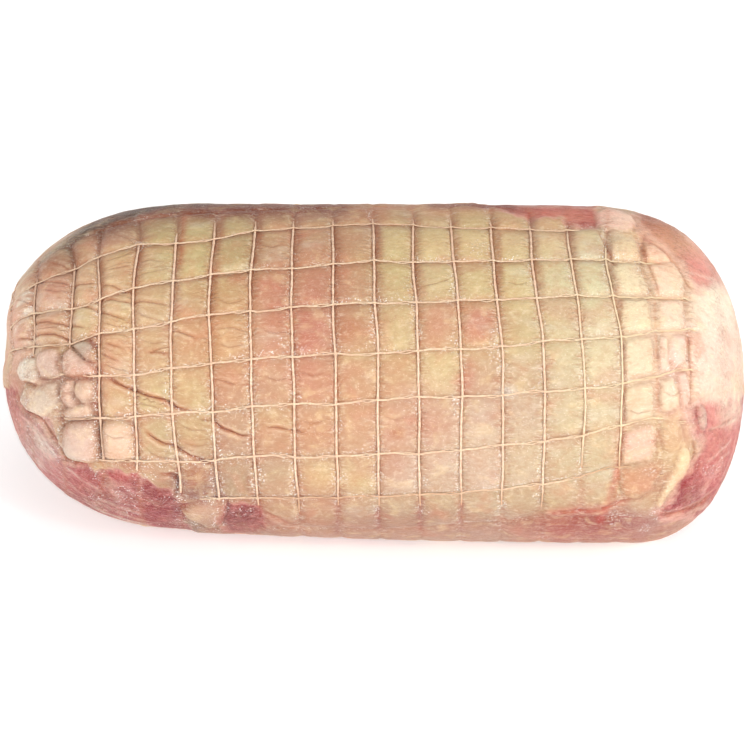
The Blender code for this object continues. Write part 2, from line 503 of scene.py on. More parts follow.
def film_relief(p, q):
    _, _, to_ring, to_strand = cell_parts(p, q)
    g_ring = furrow(to_ring, 2.3)
    g_strand = furrow(to_strand, 1.8)
    dip_ring = np.maximum(0.0, 0.80 * ring_depth(p, q) - 0.60)
    dip_strand = np.maximum(0.0, 0.75 * strand_depth(p, q) - 0.30)
    knot = 0.45 * np.exp(-(to_ring ** 2 + to_strand ** 2) / 1.9 ** 2)
    on = smooth(p, 0.6, 1.6) * smooth(20.6 - p, 0.0, 1.0)
    return (swell(p, q) + 0.38 - dip_ring * g_ring
            - dip_strand * g_strand * (1.0 - g_ring) + knot * on)


# =============================================================================
# meshes
# =============================================================================
def make_object(name, points, faces, smooth_shade=True):
    mesh = bpy.data.meshes.new(name)
    mesh.vertices.add(len(points))
    mesh.vertices.foreach_set("co", (np.asarray(points, np.float64) * MM)
                              .astype(np.float32).ravel())
    flat = np.concatenate([np.asarray(f, np.int32).ravel() for f in faces])
    sizes = np.concatenate([np.full(len(f), np.asarray(f).shape[1], np.int32)
                            for f in faces])
    mesh.loops.add(len(flat))
    mesh.loops.foreach_set("vertex_index", flat)
    mesh.polygons.add(len(sizes))
    starts = np.concatenate([[0], np.cumsum(sizes)[:-1]]).astype(np.int32)
    mesh.polygons.foreach_set("loop_start", starts)
    mesh.polygons.foreach_set("loop_total", sizes)
    mesh.update(calc_edges=True)
    mesh.validate()
    if smooth_shade:
        mesh.shade_smooth()
    obj = bpy.data.objects.new(name, mesh)
    bpy.context.scene.collection.objects.link(obj)
    return obj


def add_values(obj, name, values):
    attr = obj.data.attributes.new(name, "FLOAT", "POINT")
    attr.data.foreach_set("value", np.asarray(values, np.float32).ravel())


def add_colour(obj, name, rgb):
    attr = obj.data.attributes.new(name, "FLOAT_COLOR", "POINT")
    rgba = np.concatenate([rgb, np.ones((len(rgb), 1))], 1).astype(np.float32)
    attr.data.foreach_set("color", rgba.ravel())


def closed_shell(grid_p, grid_q):
    """Rows of net coordinates with a tip at each end, and the faces."""
    rows, cols = len(grid_p), len(grid_q)
    i = np.arange(rows - 1)[:, None]
    j = np.arange(cols)[None, :]
    jn = (j + 1) % cols
    quads = np.stack(np.broadcast_arrays(
        i * cols + j, i * cols + jn, (i + 1) * cols + jn, (i + 1) * cols + j), -1)
    quads = quads.reshape(-1, 4)
    tip_l, tip_r = rows * cols, rows * cols + 1
    jj = np.arange(cols)
    jjn = (jj + 1) % cols
    fan_l = np.stack([np.full(cols, tip_l), jjn, jj], -1)
    last = (rows - 1) * cols
    fan_r = np.stack([np.full(cols, tip_r), last + jj, last + jjn], -1)
    return quads, np.vstack([fan_l, fan_r])


def cell_steps(count, squeeze=0.55):
    t = np.arange(count) / count
    return t - squeeze * np.sin(2 * math.pi * t) / (2 * math.pi)


def grid_rows(per_cell, pole_rows):
    rows = list(-1.0 + (np.arange(1, pole_rows + 1) / (pole_rows + 1.0)) ** 0.9)
    for k in range(RINGS - 1):
        rows += list(k + cell_steps(per_cell))
    rows.append(RINGS - 1.0)
    rows += list(RINGS - (np.arange(pole_rows, 0, -1) / (pole_rows + 1.0)) ** 0.9)
    return np.array(rows)


def grid_columns(dense, sparse):
    cols = []
    for j in range(-2, STRANDS - 2):
        n = dense if j < 9 else sparse
        cols += list(j + cell_steps(n, 0.45))
    return np.array(cols)


def outward(points, quads):
    """True if the faces look away from the axis."""
    a, b, c = points[quads[:, 0]], points[quads[:, 1]], points[quads[:, 2]]
    n = np.cross(b - a, c - a)
    mid = (a + c) / 2
    off = mid.copy()
    off[:, 0] = 0
    off[:, 2] -= 60
    return (n * off).sum() > 0


def add_phase(obj, p, q, net):
    """Where a point is between the cords, in a form that stays exact between
    the points of the mesh, and whether there is a net there at all."""
    tau = 2.0 * math.pi
    add_colour(obj, "ring_phase", np.stack(
        [np.cos(tau * p), np.sin(tau * p), net], 1) * 0.5 + 0.5)
    add_colour(obj, "line_phase", np.stack(
        [np.cos(tau * q), np.sin(tau * q), net], 1) * 0.5 + 0.5)


class Shell:
    """A closed surface over net coordinates, with what its shading needs."""

    def __init__(self, per_cell, pole_rows, dense, sparse):
        self.rows = grid_rows(per_cell, pole_rows)
        self.cols = grid_columns(dense, sparse)
        P, Q = np.meshgrid(self.rows, self.cols, indexing="ij")
        self.p = np.concatenate([P.ravel(), [-1.0, RINGS]])
        self.q = np.concatenate([Q.ravel(), [0.0, 0.0]])
        s, a = on_net(self.p, self.q)
        s[-2], s[-1] = 0.0, TOTAL
        self.s, self.a = s, a
        self.base = body_point(s, a)
        self.normal = body_normal(np.clip(s, 0.3, TOTAL - 0.3), a)
        self.normal[-2] = (-1, 0, 0)
        self.normal[-1] = (1, 0, 0)
        flat = above(self.base)
        self.px, self.py = project(flat)
        view = CAM - flat
        view /= np.linalg.norm(view, axis=1, keepdims=True)
        self.facing = (view * self.normal).sum(1)
        self.quads, self.fans = closed_shell(self.rows, self.cols)

    def build(self, name, relief, low):
        """The mesh with this relief, pressed to no lower than `low`."""
        pts = self.base + self.normal * relief[:, None]
        pts[:, 2] = low + press_flat(pts[:, 2] - low)
        quads, fans = self.quads, self.fans
        if not outward(pts, quads):
            quads, fans = quads[:, ::-1], fans[:, ::-1]
        return make_object(name, pts, [quads, fans]), pts


# =============================================================================
# features of the shown side, placed by pixels of the photograph
# =============================================================================
# folds of the skin: depth, half width in pixels, and the run
FOLDS = (
    (0.5, 2.0, [(52, 265), (62, 266), (70, 269)]),
    (0.7, 2.2, [(32, 280), (45, 282), (60, 284), (70, 286), (97, 284)]),
    (0.6, 2.0, [(101, 286), (112, 286), (122, 290), (131, 290)]),
    (0.7, 2.0, [(71, 303), (85, 306), (98, 310), (114, 316), (130, 320)]),
    (0.6, 2.0, [(101, 300), (112, 299), (118, 301), (130, 303), (150, 302), (168, 304)]),
    (0.7, 2.2, [(30, 324), (45, 323), (60, 324), (70, 325), (88, 329)]),
    (0.9, 2.4, [(16, 338), (30, 338), (40, 335), (55, 334), (66, 338), (72, 344)]),
    (1.0, 2.6, [(24, 382), (31, 384), (36, 388)]),
    (1.4, 2.6, [(108, 377), (116, 383), (126, 388), (136, 391), (150, 396),
                (160, 398), (168, 402), (174, 407), (182, 409), (192, 410)]),
    (1.3, 2.6, [(145, 430), (155, 438), (163, 443), (171, 445), (178, 450),
                (190, 457), (202, 459)]),
    (0.6, 2.0, [(100, 352), (110, 357), (118, 362)]),
    (0.5, 1.8, [(104, 342), (114, 346), (124, 350)]),
    (0.8, 2.0, [(170, 329), (180, 331), (188, 334), (197, 338)]),
    (1.5, 2.8, [(214, 422), (222, 428), (232, 433), (241, 436), (251, 436)]),
    (0.8, 2.0, [(201, 418), (210, 421)]),
    (0.8, 2.2, [(264, 427), (276, 428), (286, 430), (293, 432), (306, 434)]),
    (0.8, 2.2, [(148, 352), (160, 352), (169, 354)]),
    (0.5, 2.0, [(216, 381), (226, 382), (236, 384)]),
    (1.0, 2.2, [(160, 475), (170, 474), (177, 480), (178, 488), (173, 496)]),
    (1.2, 2.4, [(196, 461), (206, 462), (214, 465)]),
    (0.5, 2.4, [(262, 510), (272, 515), (284, 521), (296, 524), (306, 520)]),
    (0.5, 2.4, [(597, 232), (606, 244), (611, 258), (616, 270)]),
    (0.3, 2.4, [(636, 236), (644, 252), (650, 268), (654, 284), (658, 298)]),
    (0.4, 2.6, [(640, 236), (652, 243), (664, 252), (672, 262), (682, 276), (694, 292)]),
    (0.35, 2.0, [(686, 332), (688, 345), (688, 360), (691, 372), (692, 386), (689, 400)]),
    (0.5, 2.2, [(692, 440), (695, 452), (692, 462)]),
    (0.45, 2.2, [(548, 512), (575, 511), (600, 509), (612, 504), (626, 500),
                (642, 496), (652, 489)]),
    (0.3, 2.2, [(696, 404), (698, 416), (700, 428), (704, 434)]),
    (0.3, 2.2, [(703, 434), (712, 430), (722, 424), (732, 417)]),
    (0.9, 3.0, [(655, 514), (668, 515), (684, 512), (700, 505), (712, 494)]),
    (1.1, 3.0, [(14, 388), (16, 398), (22, 410), (38, 418), (47, 431),
                (58, 446), (65, 460), (76, 464), (90, 466)]),
)

# fine wrinkles drawn without a trench of their own
LINES = (
    (0.3, 1.5, [(118, 236), (130, 240), (138, 247)]),
    (0.3, 1.5, [(104, 262), (118, 258), (132, 252)]),
    (0.3, 1.5, [(100, 272), (116, 268), (132, 266)]),
    (0.4, 1.5, [(44, 292), (58, 294), (68, 292)]),
    (0.4, 1.5, [(20, 302), (32, 306), (42, 308)]),
    (0.4, 1.5, [(22, 316), (34, 314), (44, 312)]),
    (0.3, 1.5, [(140, 262), (152, 260), (166, 262)]),
    (0.3, 1.5, [(140, 276), (154, 272), (170, 268)]),
    (0.4, 1.5, [(136, 312), (150, 318), (166, 322)]),
    (0.4, 1.5, [(104, 322), (118, 326), (130, 326)]),
    (0.4, 1.5, [(102, 334), (116, 334), (128, 338)]),
    (0.5, 1.5, [(104, 364), (118, 370), (130, 372)]),
    (0.3, 1.5, [(140, 338), (152, 344), (164, 342)]),
    (0.4, 1.5, [(140, 402), (152, 406), (162, 410)]),
    (0.4, 1.5, [(104, 430), (116, 436), (128, 436)]),
    (0.4, 1.5, [(146, 448), (158, 456), (170, 458)]),
    (0.4, 1.5, [(180, 424), (192, 430), (206, 430)]),
    (0.4, 1.5, [(182, 444), (194, 446), (208, 444)]),
    (0.3, 1.5, [(216, 300), (228, 304), (244, 300)]),
    (0.3, 1.5, [(216, 330), (230, 328), (246, 332)]),
    (0.3, 1.5, [(218, 344), (230, 348), (246, 344)]),
    (0.3, 1.5, [(260, 244), (272, 248), (284, 244)]),
    (0.3, 1.5, [(262, 330), (274, 334), (286, 332)]),
    (0.3, 1.5, [(262, 376), (276, 380), (288, 376)]),
    (0.3, 1.5, [(300, 372), (312, 376), (326, 372)]),
    (0.3, 1.5, [(300, 420), (312, 424), (326, 420)]),
    (0.4, 1.5, [(420, 288), (436, 284), (450, 280)]),
    (0.3, 1.5, [(506, 264), (520, 262), (530, 266)]),
    (0.3, 1.5, [(506, 282), (518, 286), (530, 282)]),
    (0.3, 1.5, [(384, 416), (396, 420), (410, 418)]),
    (0.4, 1.5, [(625, 300), (634, 304), (646, 300)]),
    (0.4, 1.5, [(628, 410), (638, 414), (650, 410)]),
    (0.4, 1.5, [(662, 392), (670, 396), (680, 392)]),
)

# soft rises and hollows: height, centre, radii, turn
LUMPS = (
    (0.7, 400, 206, 90, 16, 0), (1.1, 530, 208, 90, 16, 0), (-1.5, 6, 348, 10, 20, 0),
    (1.3, 25, 300, 14, 30, 10), (1.0, 55, 300, 14, 18, 0),
    (1.0, 705, 330, 18, 34, 0), (1.0, 712, 376, 16, 22, 0),
    (1.0, 235, 518, 16, 10, 0), (1.0, 645, 512, 24, 12, -10),
    (-0.9, 100, 470, 12, 8, 0), (1.0, 130, 478, 14, 12, 0), (-1.0, 175, 484, 8, 12, 0),
)

# swollen lobes between creases: height, shoulder in pixels, tissue, its
# strength, how dark the crease round it is, in depth and in painted shade, and the outline
LOBES = (
    (1.44, 9, "rose", 0.85, 0.40, [(40, 353), (49, 350), (57, 350), (61, 358), (63, 368),
                                  (61, 376), (52, 378), (42, 377), (38, 368), (37, 359)]),
    (1.02, 7, "white", 0.80, 0.25, [(21, 362), (28, 358), (36, 359), (37, 368), (38, 378),
                                   (35, 383), (28, 381), (21, 380), (18, 371)]),
    (1.60, 11, "rose", 0.80, 0.55, [(64, 353), (70, 347), (76, 353), (83, 360), (91, 365),
                                   (96, 371), (95, 376), (84, 377), (72, 377), (64, 374),
                                   (60, 363)]),
    (1.19, 8, "grey", 0.60, 0.65, [(74, 346), (81, 342), (89, 342), (94, 347), (94, 354),
                                  (92, 361), (86, 359), (79, 352)]),
    (1.40, 9, "rose", 0.75, 0.45, [(63, 384), (69, 380), (75, 382), (73, 388), (71, 394),
                                  (73, 400), (77, 404), (70, 407), (64, 403), (61, 395),
                                  (61, 388)]),
    (1.50, 11, "blush", 0.70, 0.45, [(79, 381), (86, 379), (94, 382), (97, 389), (96, 396),
                                    (90, 400), (82, 401), (76, 396), (75, 388)]),
    (1.15, 8, "blush", 0.75, 0.50, [(61, 411), (68, 408), (79, 407), (89, 404), (92, 409),
                                   (91, 416), (80, 419), (67, 419), (60, 416)]),
    (1.60, 14, "rose", 0.70, 0.55, [(66, 425), (73, 422), (84, 421), (92, 422), (97, 426),
                                   (98, 440), (99, 452), (97, 461), (87, 463), (77, 462),
                                   (68, 457), (61, 449), (59, 440), (61, 431)]),
    (1.36, 10, "blush", 0.50, 0.50, [(102, 424), (112, 422), (124, 422), (132, 424),
                                    (135, 434), (136, 446), (136, 458), (126, 460),
                                    (112, 460), (103, 459), (101, 444), (101, 432)]),
    (1.10, 8, "white", 0.65, 0.30, [(24, 390), (32, 385), (40, 388), (48, 384), (57, 384),
                                   (58, 396), (56, 408), (49, 412), (44, 419), (38, 414),
                                   (28, 410), (21, 401)]),
    (0.87, 8, "rose", 0.85, 0.20, [(597, 214), (606, 210), (618, 212), (632, 217),
                                  (636, 225), (629, 234), (618, 232), (606, 231),
                                  (597, 226)]),
    (0.56, 8, "pale", 0.55, 0.15, [(610, 244), (622, 240), (634, 242), (640, 252),
                                  (642, 260), (628, 261), (614, 260), (609, 252)]),
    (0.68, 9, "pale", 0.60, 0.20, [(611, 266), (624, 262), (640, 262), (645, 272),
                                  (648, 284), (650, 293), (634, 295), (618, 295), (612, 282)]),
    (0.62, 7, "blush", 0.65, 0.12, [(644, 246), (654, 245), (664, 253), (674, 262),
                                   (684, 276), (688, 288), (680, 280), (668, 268),
                                   (656, 262), (645, 258)]),
    (0.68, 9, "blush", 0.60, 0.17, [(650, 266), (662, 264), (674, 270), (683, 280),
                                   (686, 292), (682, 298), (668, 297), (654, 295),
                                   (650, 280)]),
    (0.74, 9, "pale", 0.60, 0.20, [(618, 301), (634, 299), (648, 300), (650, 312), (651, 326),
                                  (650, 331), (634, 333), (622, 333), (619, 320)]),
    (0.68, 8, "blush", 0.65, 0.20, [(659, 302), (670, 300), (682, 301), (683, 314),
                                   (684, 328), (672, 330), (661, 330), (658, 316)]),
    (0.81, 9, "pale", 0.65, 0.23, [(623, 342), (636, 338), (650, 337), (653, 350), (654, 364),
                                  (653, 373), (638, 377), (625, 379), (623, 360)]),
    (0.81, 6, "blush", 0.60, 0.25, [(659, 338), (666, 337), (668, 350), (668, 364),
                                   (671, 371), (660, 373), (658, 357)]),
    (0.87, 7, "rose", 0.85, 0.28, [(670, 338), (678, 335), (684, 337), (685, 350), (685, 362),
                                  (679, 366), (672, 363), (669, 350)]),
    (0.81, 9, "pale", 0.55, 0.23, [(625, 389), (640, 384), (652, 382), (654, 396), (655, 411),
                                  (653, 417), (640, 420), (626, 423), (624, 404)]),
    (0.99, 8, "pale", 0.80, 0.30, [(660, 382), (668, 377), (674, 378), (677, 390), (679, 402),
                                  (677, 409), (668, 412), (661, 411), (659, 398)]),
    (0.74, 5, "rose", 0.85, 0.35, [(679, 375), (686, 373), (689, 384), (690, 396), (687, 404),
                                  (683, 408), (679, 401), (678, 387)]),
    (0.99, 8, "cream", 0.60, 0.33, [(661, 419), (670, 415), (678, 415), (681, 424),
                                   (682, 438), (679, 448), (672, 453), (663, 450),
                                   (660, 436)]),
    (0.74, 10, "blush", 0.60, 0.23, [(622, 432), (638, 427), (653, 423), (656, 432),
                                    (655, 446), (651, 458), (636, 462), (622, 465),
                                    (621, 448)]),
    (0.68, 9, "orange", 0.30, 0.23, [(621, 471), (636, 467), (652, 463), (662, 465),
                                    (659, 475), (651, 487), (640, 495), (625, 498),
                                    (620, 484)]),
    (0.81, 6, "pale", 0.75, 0.23, [(681, 450), (687, 447), (690, 456), (689, 468), (684, 477),
                                  (676, 485), (669, 493), (665, 501), (660, 507),
                                  (655, 506), (658, 496), (664, 486), (671, 475),
                                  (677, 462)]),
    (0.56, 4, "grey", 0.65, 0.18, [(700, 408), (704, 406), (708, 412), (708, 422), (705, 430),
                                  (701, 430), (698, 421)]),
    (1.20, 7, "cream", 0.40, 0.70, [(180, 511), (189, 507), (201, 503), (214, 500), (226, 501),
                                  (227, 512), (222, 523), (210, 527), (197, 521),
                                  (187, 517)]),
)

# bare meat, where the skin ends
MEAT_AREAS = (
    (2.0, [(-6, 384), (8, 388), (14, 386), (19, 396), (22, 409), (36, 417), (47, 421),
     (54, 432), (58, 446), (64, 458), (74, 462), (88, 464), (97, 474), (108, 470), (118, 467),
     (136, 471), (148, 478), (156, 487), (170, 491), (178, 500), (187, 504),
     (181, 512), (183, 521), (190, 528), (200, 550), (-6, 550)]),
    (3.0, [(222, 503), (238, 502), (252, 505), (263, 513), (263, 526), (252, 533),
     (234, 533), (222, 527), (218, 515)]),
    (6.0, [(690, 404), (700, 398), (716, 402), (728, 406), (734, 396), (752, 396),
     (752, 520), (700, 520), (664, 520), (654, 511), (668, 500), (678, 492),
     (677, 478), (690, 470), (697, 455), (700, 440), (694, 434), (688, 420)]),
    (4.0, [(478, 196), (478, 209), (506, 213), (530, 219), (562, 219), (572, 226),
     (594, 230), (599, 224), (594, 210), (598, 196)]),
    (7.0, [(633, 206), (638, 226), (648, 238), (664, 248), (672, 256), (682, 270),
     (694, 282), (702, 290), (712, 286), (722, 284), (740, 300), (752, 250), (690, 200)]),
)


# where the film is crumpled and full of tiny bubbles: its bump is stronger there, and the skin
# and the film get painted glints and specks
GLINTS = (
    (139, 244, 9, 5), (480, 248, 12, 9), (603, 253, 5, 10), (494, 346, 8, 18),
    (457, 404, 5, 14), (279, 341, 6, 5), (297, 396, 5, 5), (340, 424, 6, 5),
    (58, 430, 6, 11), (68, 459, 8, 5), (95, 473, 9, 9), (126, 508, 11, 12),
    (194, 523, 6, 5), (225, 505, 5, 6), (240, 512, 14, 4), (260, 480, 6, 15),
    (300, 478, 5, 5), (343, 478, 5, 5), (378, 477, 7, 5), (421, 511, 10, 4),
    (426, 444, 4, 5), (426, 482, 4, 5), (466, 463, 4, 4), (502, 505, 6, 4),
    (538, 497, 5, 4), (614, 517, 6, 12), (654, 512, 5, 6), (645, 527, 7, 7),
    (208, 497, 10, 5), (106, 458, 8, 5), (672, 372, 6, 18), (650, 470, 6, 5),
    (150, 475, 12, 4), (176, 500, 6, 8), (128, 492, 16, 6), (58, 450, 10, 10),
    (40, 420, 8, 8), (26, 400, 6, 8), (96, 500, 12, 5), (712, 470, 10, 8),
    (497, 330, 4, 16), (500, 364, 4, 12), (455, 340, 4, 10), (418, 330, 4, 10),
)

# painted shade of the gathered film along the rims: strength, half width, run
RIM_SHADE_RUNS = (
    (0.62, 3.4, [(72, 242), (88, 231), (104, 222), (122, 215), (140, 211), (160, 208)]),
    (0.45, 3.0, [(40, 266), (56, 252), (72, 242)]),
    (0.50, 2.4, [(160, 206), (185, 204), (230, 202)]),
    (0.40, 1.4, [(230, 202), (330, 200), (440, 200), (500, 202)]),
    (0.45, 1.3, [(652, 213), (685, 226), (712, 248), (730, 276), (738, 300)]),
    (0.30, 1.5, [(200, 535), (300, 538), (420, 541), (540, 543), (640, 544)]),
)

# where the soft meat closes over the net
CLOSED_OVER = (
    [(-6, 360), (14, 358), (30, 360), (50, 355), (64, 348), (80, 346), (82, 378),
     (82, 404), (62, 410), (60, 452), (92, 462), (118, 468), (136, 471), (150, 482), (170, 491),
     (186, 502), (222, 503), (268, 511), (270, 532), (300, 560), (-6, 560)],
    [(702, 190), (694, 300), (697, 340), (697, 396), (688, 420), (683, 452),
     (668, 476), (655, 490), (640, 505), (650, 560), (752, 560), (752, 190)],
    [(470, 190), (478, 210), (506, 214), (560, 219), (594, 231), (640, 228),
     (664, 246), (680, 270), (694, 292), (752, 292), (752, 190)],
    [(-6, 190), (-6, 290), (20, 284), (44, 262), (64, 247), (90, 231), (116, 220),
     (200, 211), (330, 208), (470, 210), (480, 190)],
)


def unit_rgb(r, g, b):
    c = np.array([r, g, b], float) / 255.0
    return np.where(c <= 0.04045, c / 12.92, ((c + 0.055) / 1.055) ** 2.4)


def seen_weight(shell):
    """1 where the photograph shows the surface, 0 on what it hides."""
    return smooth(shell.facing, -0.16, -0.03)


# along the upper edge the rings sink into their furrows
SUNK = [(-6, 190), (-6, 282), (42, 277), (70, 262), (98, 254), (132, 243), (176, 232),
        (214, 220), (300, 218), (400, 217), (500, 219), (600, 236), (620, 190)]
SUNK_LOW = [(200, 512), (262, 511), (300, 516), (340, 510), (480, 508), (560, 510),
            (600, 512), (640, 500), (660, 570), (200, 570)]
# the lengthways cords past the last one that shows, above and below
SUNK_LINES = ([(-6, 190), (-6, 272), (50, 262), (72, 254), (97, 244), (138, 234), (176, 232),
               (214, 227), (255, 221), (293, 218), (400, 214), (500, 218), (567, 221),
               (640, 190)],
              [(200, 508), (640, 500), (660, 570), (200, 570)])

# where one lengthways cord lies free between the lobes of the left end
OPEN_LINE = [(46, 369), (70, 369), (104, 366), (104, 386), (46, 388)]

# rings that lie deep between two lobes: first and last number, and where
DEEP_RINGS = (
    (1, 1, [(-6, 190), (60, 190), (60, 470), (-6, 470)]),
    (2, 3, [(34, 352), (84, 346), (84, 454), (34, 454)]),
    (17, 17, [(586, 196), (612, 196), (612, 246), (590, 246)]),
    (19, 20, [(660, 262), (708, 262), (708, 490), (664, 490)]),
)


def closed_over(base, px, py, w):
    """1 where the meat has closed over the net, 0 where the net shows."""
    wx = px + 3.5 * noise(base, 9.0, 91)
    wy = py + 3.5 * noise(base, 9.0, 92)
    shown = np.zeros(px.shape)
    for ring in CLOSED_OVER:
        shown = np.maximum(shown, inside(wx, wy, ring, 4.0))
    hidden = 0.8 * smooth(fractal(base, 26.0, 93, 2), 0.28, 0.45)
    hidden = np.maximum(hidden, smooth(np.abs(base[:, 0]), 136.0, 141.0))
    return w * shown + (1.0 - w) * hidden


def net_weight(facing, px, py):
    """Like seen_weight, but the net comes back a little before the upper rim."""
    top = (smooth(px, 150.0, 240.0) * smooth(470.0 - px, 0.0, 40.0)
           * smooth(300.0 - py, 0.0, 60.0))
    return smooth(facing, -0.16 + 0.09 * top, -0.03 + 0.09 * top)


def side_of(px, py, line):
    """+1 on one side of a run of straight pieces and -1 on the other."""
    pts = np.asarray(line, float)
    best = np.full(px.shape, 1e9)
    sign = np.ones(px.shape)
    for i in range(len(pts) - 1):
        a, b = pts[i], pts[i + 1]
        d = b - a
        t = np.clip(((px - a[0]) * d[0] + (py - a[1]) * d[1]) / max(d @ d, 1e-9), 0, 1)
        r = np.hypot(px - a[0] - t * d[0], py - a[1] - t * d[1])
        cross = d[0] * (py - a[1]) - d[1] * (px - a[0])
        near = r < best
        best = np.where(near, r, best)
        sign = np.where(near, np.where(cross >= 0, 1.0, -1.0), sign)
    return sign


def fold_lines(shell):
    """Signed distance in pixels to the nearest fold and how marked it is."""
    n = shell.p.shape
    dist, mark = np.zeros(n), np.zeros(n)
    best, second = np.full(n, 1e9), np.full(n, 1e9)
    w = seen_weight(shell)
    wx = shell.px + 1.4 * noise(shell.base, 6.0, 51)
    wy = shell.py + 1.4 * noise(shell.base, 6.0, 52)
    for depth, half, line in FOLDS + LINES:
        x0 = min(c[0] for c in line) - 12
        x1 = max(c[0] for c in line) + 12
        y0 = min(c[1] for c in line) - 12
        y1 = max(c[1] for c in line) + 12
        m = np.nonzero((shell.px > x0) & (shell.px < x1) & (shell.py > y0)
                       & (shell.py < y1) & (w > 0))[0]
        if not len(m):
            continue
        r, t = line_distance(wx[m], wy[m], line)
        sign = side_of(wx[m], wy[m], line)
        strong = (min(1.0, 0.16 + 0.55 * depth)
                  * smooth(t, -0.01, 0.16) * smooth(1.0 - t, -0.01, 0.16)
                  * smooth(9.0 - r, 0.0, 5.0) * w[m])
        closer = r < best[m]
        second[m] = np.where(closer, best[m], np.minimum(second[m], r))
        pick = m[closer]
        best[pick] = r[closer]
        dist[pick] = (sign * r)[closer]
        mark[pick] = strong[closer]
    # where two folds are equally near neither is drawn, so none is doubled
    return dist, mark * smooth(second - best, 0.4, 3.0)


def fold_field(shell):
    """Relief of the folds and how close a point is to one, 0 to 1."""
    relief = np.zeros(shell.p.shape)
    near = np.zeros(shell.p.shape)
    w = seen_weight(shell)
    pts = shell.base
    wx = shell.px + 1.6 * noise(pts, 7.0, 51)
    wy = shell.py + 1.6 * noise(pts, 7.0, 52)
    for depth, half, line in FOLDS:
        x0 = min(c[0] for c in line) - 14
        x1 = max(c[0] for c in line) + 14
        y0 = min(c[1] for c in line) - 14
        y1 = max(c[1] for c in line) + 14
        m = ((shell.px > x0) & (shell.px < x1) & (shell.py > y0)
             & (shell.py < y1) & (w > 0))
        if not m.any():
            continue
        r, t = line_distance(wx[m], wy[m], line)
        ends = smooth(t, 0.0, 0.12) * smooth(1.0 - t, 0.0, 0.12)
        half = 0.85 * half
        cut = np.exp(-(r / half) ** 2) * (0.35 + 0.65 * ends)
        lip = 0.30 * np.exp(-((r - 2.1 * half) / (1.2 * half)) ** 2) * ends
        relief[m] += w[m] * depth * (lip - cut)
        near[m] = np.maximum(near[m], w[m] * cut * min(1.0, depth / 1.2))
    for high, x, y, rx, ry, turn in LUMPS:
        relief += w * high * blob(shell.px, shell.py, x, y, rx, ry, turn)
    return relief, near


def hidden_folds(shell):
    """Folds of the same kind on what the photograph doesn't show."""
    w = 1.0 - seen_weight(shell)
    pts = shell.base.copy()
    pts[:, 0] *= 0.45
    n1 = noise(pts, 15.0, 61)
    n2 = noise(pts + 40.0, 24.0, 62)
    band = np.exp(-(n1 / 0.07) ** 2) * smooth(n2, 0.05, 0.45)
    return -1.1 * band * w, band * w


def turned(a):
    """Degrees round from the crown, positive to the shown side."""
    return (np.degrees(a) + 180.0) % 360.0 - 180.0


def meat_mask(shell):
    """1 on bare meat, 0 on skin."""
    pts = shell.base
    wx = shell.px + 7.0 * fractal(pts, 13.0, 71) + 2.4 * noise(pts, 3.0, 73)
    wy = shell.py + 5.0 * fractal(pts, 12.0, 72) + 2.4 * noise(pts, 3.0, 74)
    shown = np.zeros(shell.p.shape)
    for soft, ring in MEAT_AREAS:
        shown = np.maximum(shown, inside(wx, wy, ring, soft))
    # on the hidden side the skin ends along two ragged edges
    deg = turned(shell.a) + 7.0 * fractal(pts, 34.0, 75) + 2.5 * noise(pts, 8.0, 76)
    x = shell.base[:, 0] + 14.0 * fractal(pts, 22.0, 79, 4) + 3.0 * noise(pts, 5.0, 80)
    front = 148.0 - 32.0 * smooth(-x, 58.0, 92.0) - 32.0 * smooth(x, 100.0, 124.0)
    rear = 112.0 + 14.0 * np.sin(x / 31.0)
    back = np.maximum(smooth(deg - front, -2.0, 2.0), smooth(-deg - rear, -2.0, 2.0))
    # the bare strips at the upper right run on over the crown
    behind = smooth(-deg, 0.0, 20.0)
    run = smooth(x, 36.0, 42.0) * smooth(98.0 - x, 0.0, 6.0) * smooth(66.0 + 12.0 * noise(pts, 16.0, 84) + deg, 0.0, 8.0)
    end = smooth(x, 112.0, 118.0) * smooth(84.0 + deg, 0.0, 8.0) * smooth(144.0 - x, 0.0, 5.0)
    back = np.maximum(back, behind * np.maximum(run, end))
    tips = smooth(np.abs(shell.base[:, 0]) + 5.0 * fractal(pts, 16.0, 77), 139.0, 143.0)
    back = np.maximum(back, tips * smooth(noise(pts, 24.0, 78), 0.05, 0.35))
    w = seen_weight(shell)
    return w * shown + (1.0 - w) * back


def lobe_places(shell):
    """For each lobe, the points near it and how deep inside it they lie."""
    w = seen_weight(shell)
    wx = shell.px + 0.9 * noise(shell.base, 5.0, 53)
    wy = shell.py + 0.9 * noise(shell.base, 5.0, 54)
    for lobe in LOBES:
        x = [c[0] for c in lobe[5]]
        y = [c[1] for c in lobe[5]]
        m = np.nonzero((shell.px > min(x) - 8) & (shell.px < max(x) + 8)
                       & (shell.py > min(y) - 8) & (shell.py < max(y) + 8)
                       & (w > 0))[0]
        if len(m):
            wider = 1.5 if min(x) < 100 else 0.9
            yield lobe, m, depth_inside(wx[m], wy[m], lobe[5]) + wider, w[m]


def lobe_relief(shell):
    out = np.zeros(shell.p.shape)
    for (high, soft, _, _, dark, _), m, d, w in lobe_places(shell):
        t = np.clip(d / (0.8 * soft), 0.0, 1.0)
        out[m] += w * (1.3 * high * (1.0 - (1.0 - t) ** 2.2)
                       - 1.2 * dark * np.exp(-((d + 0.4) / 1.35) ** 2))
    return out


def lump_field(px, py, weight):
    """The soft rises alone, which the net and the film follow too."""
    out = np.zeros(px.shape)
    for high, x, y, rx, ry, turn in LUMPS:
        out += weight * high * blob(px, py, x, y, rx, ry, turn)
    return out


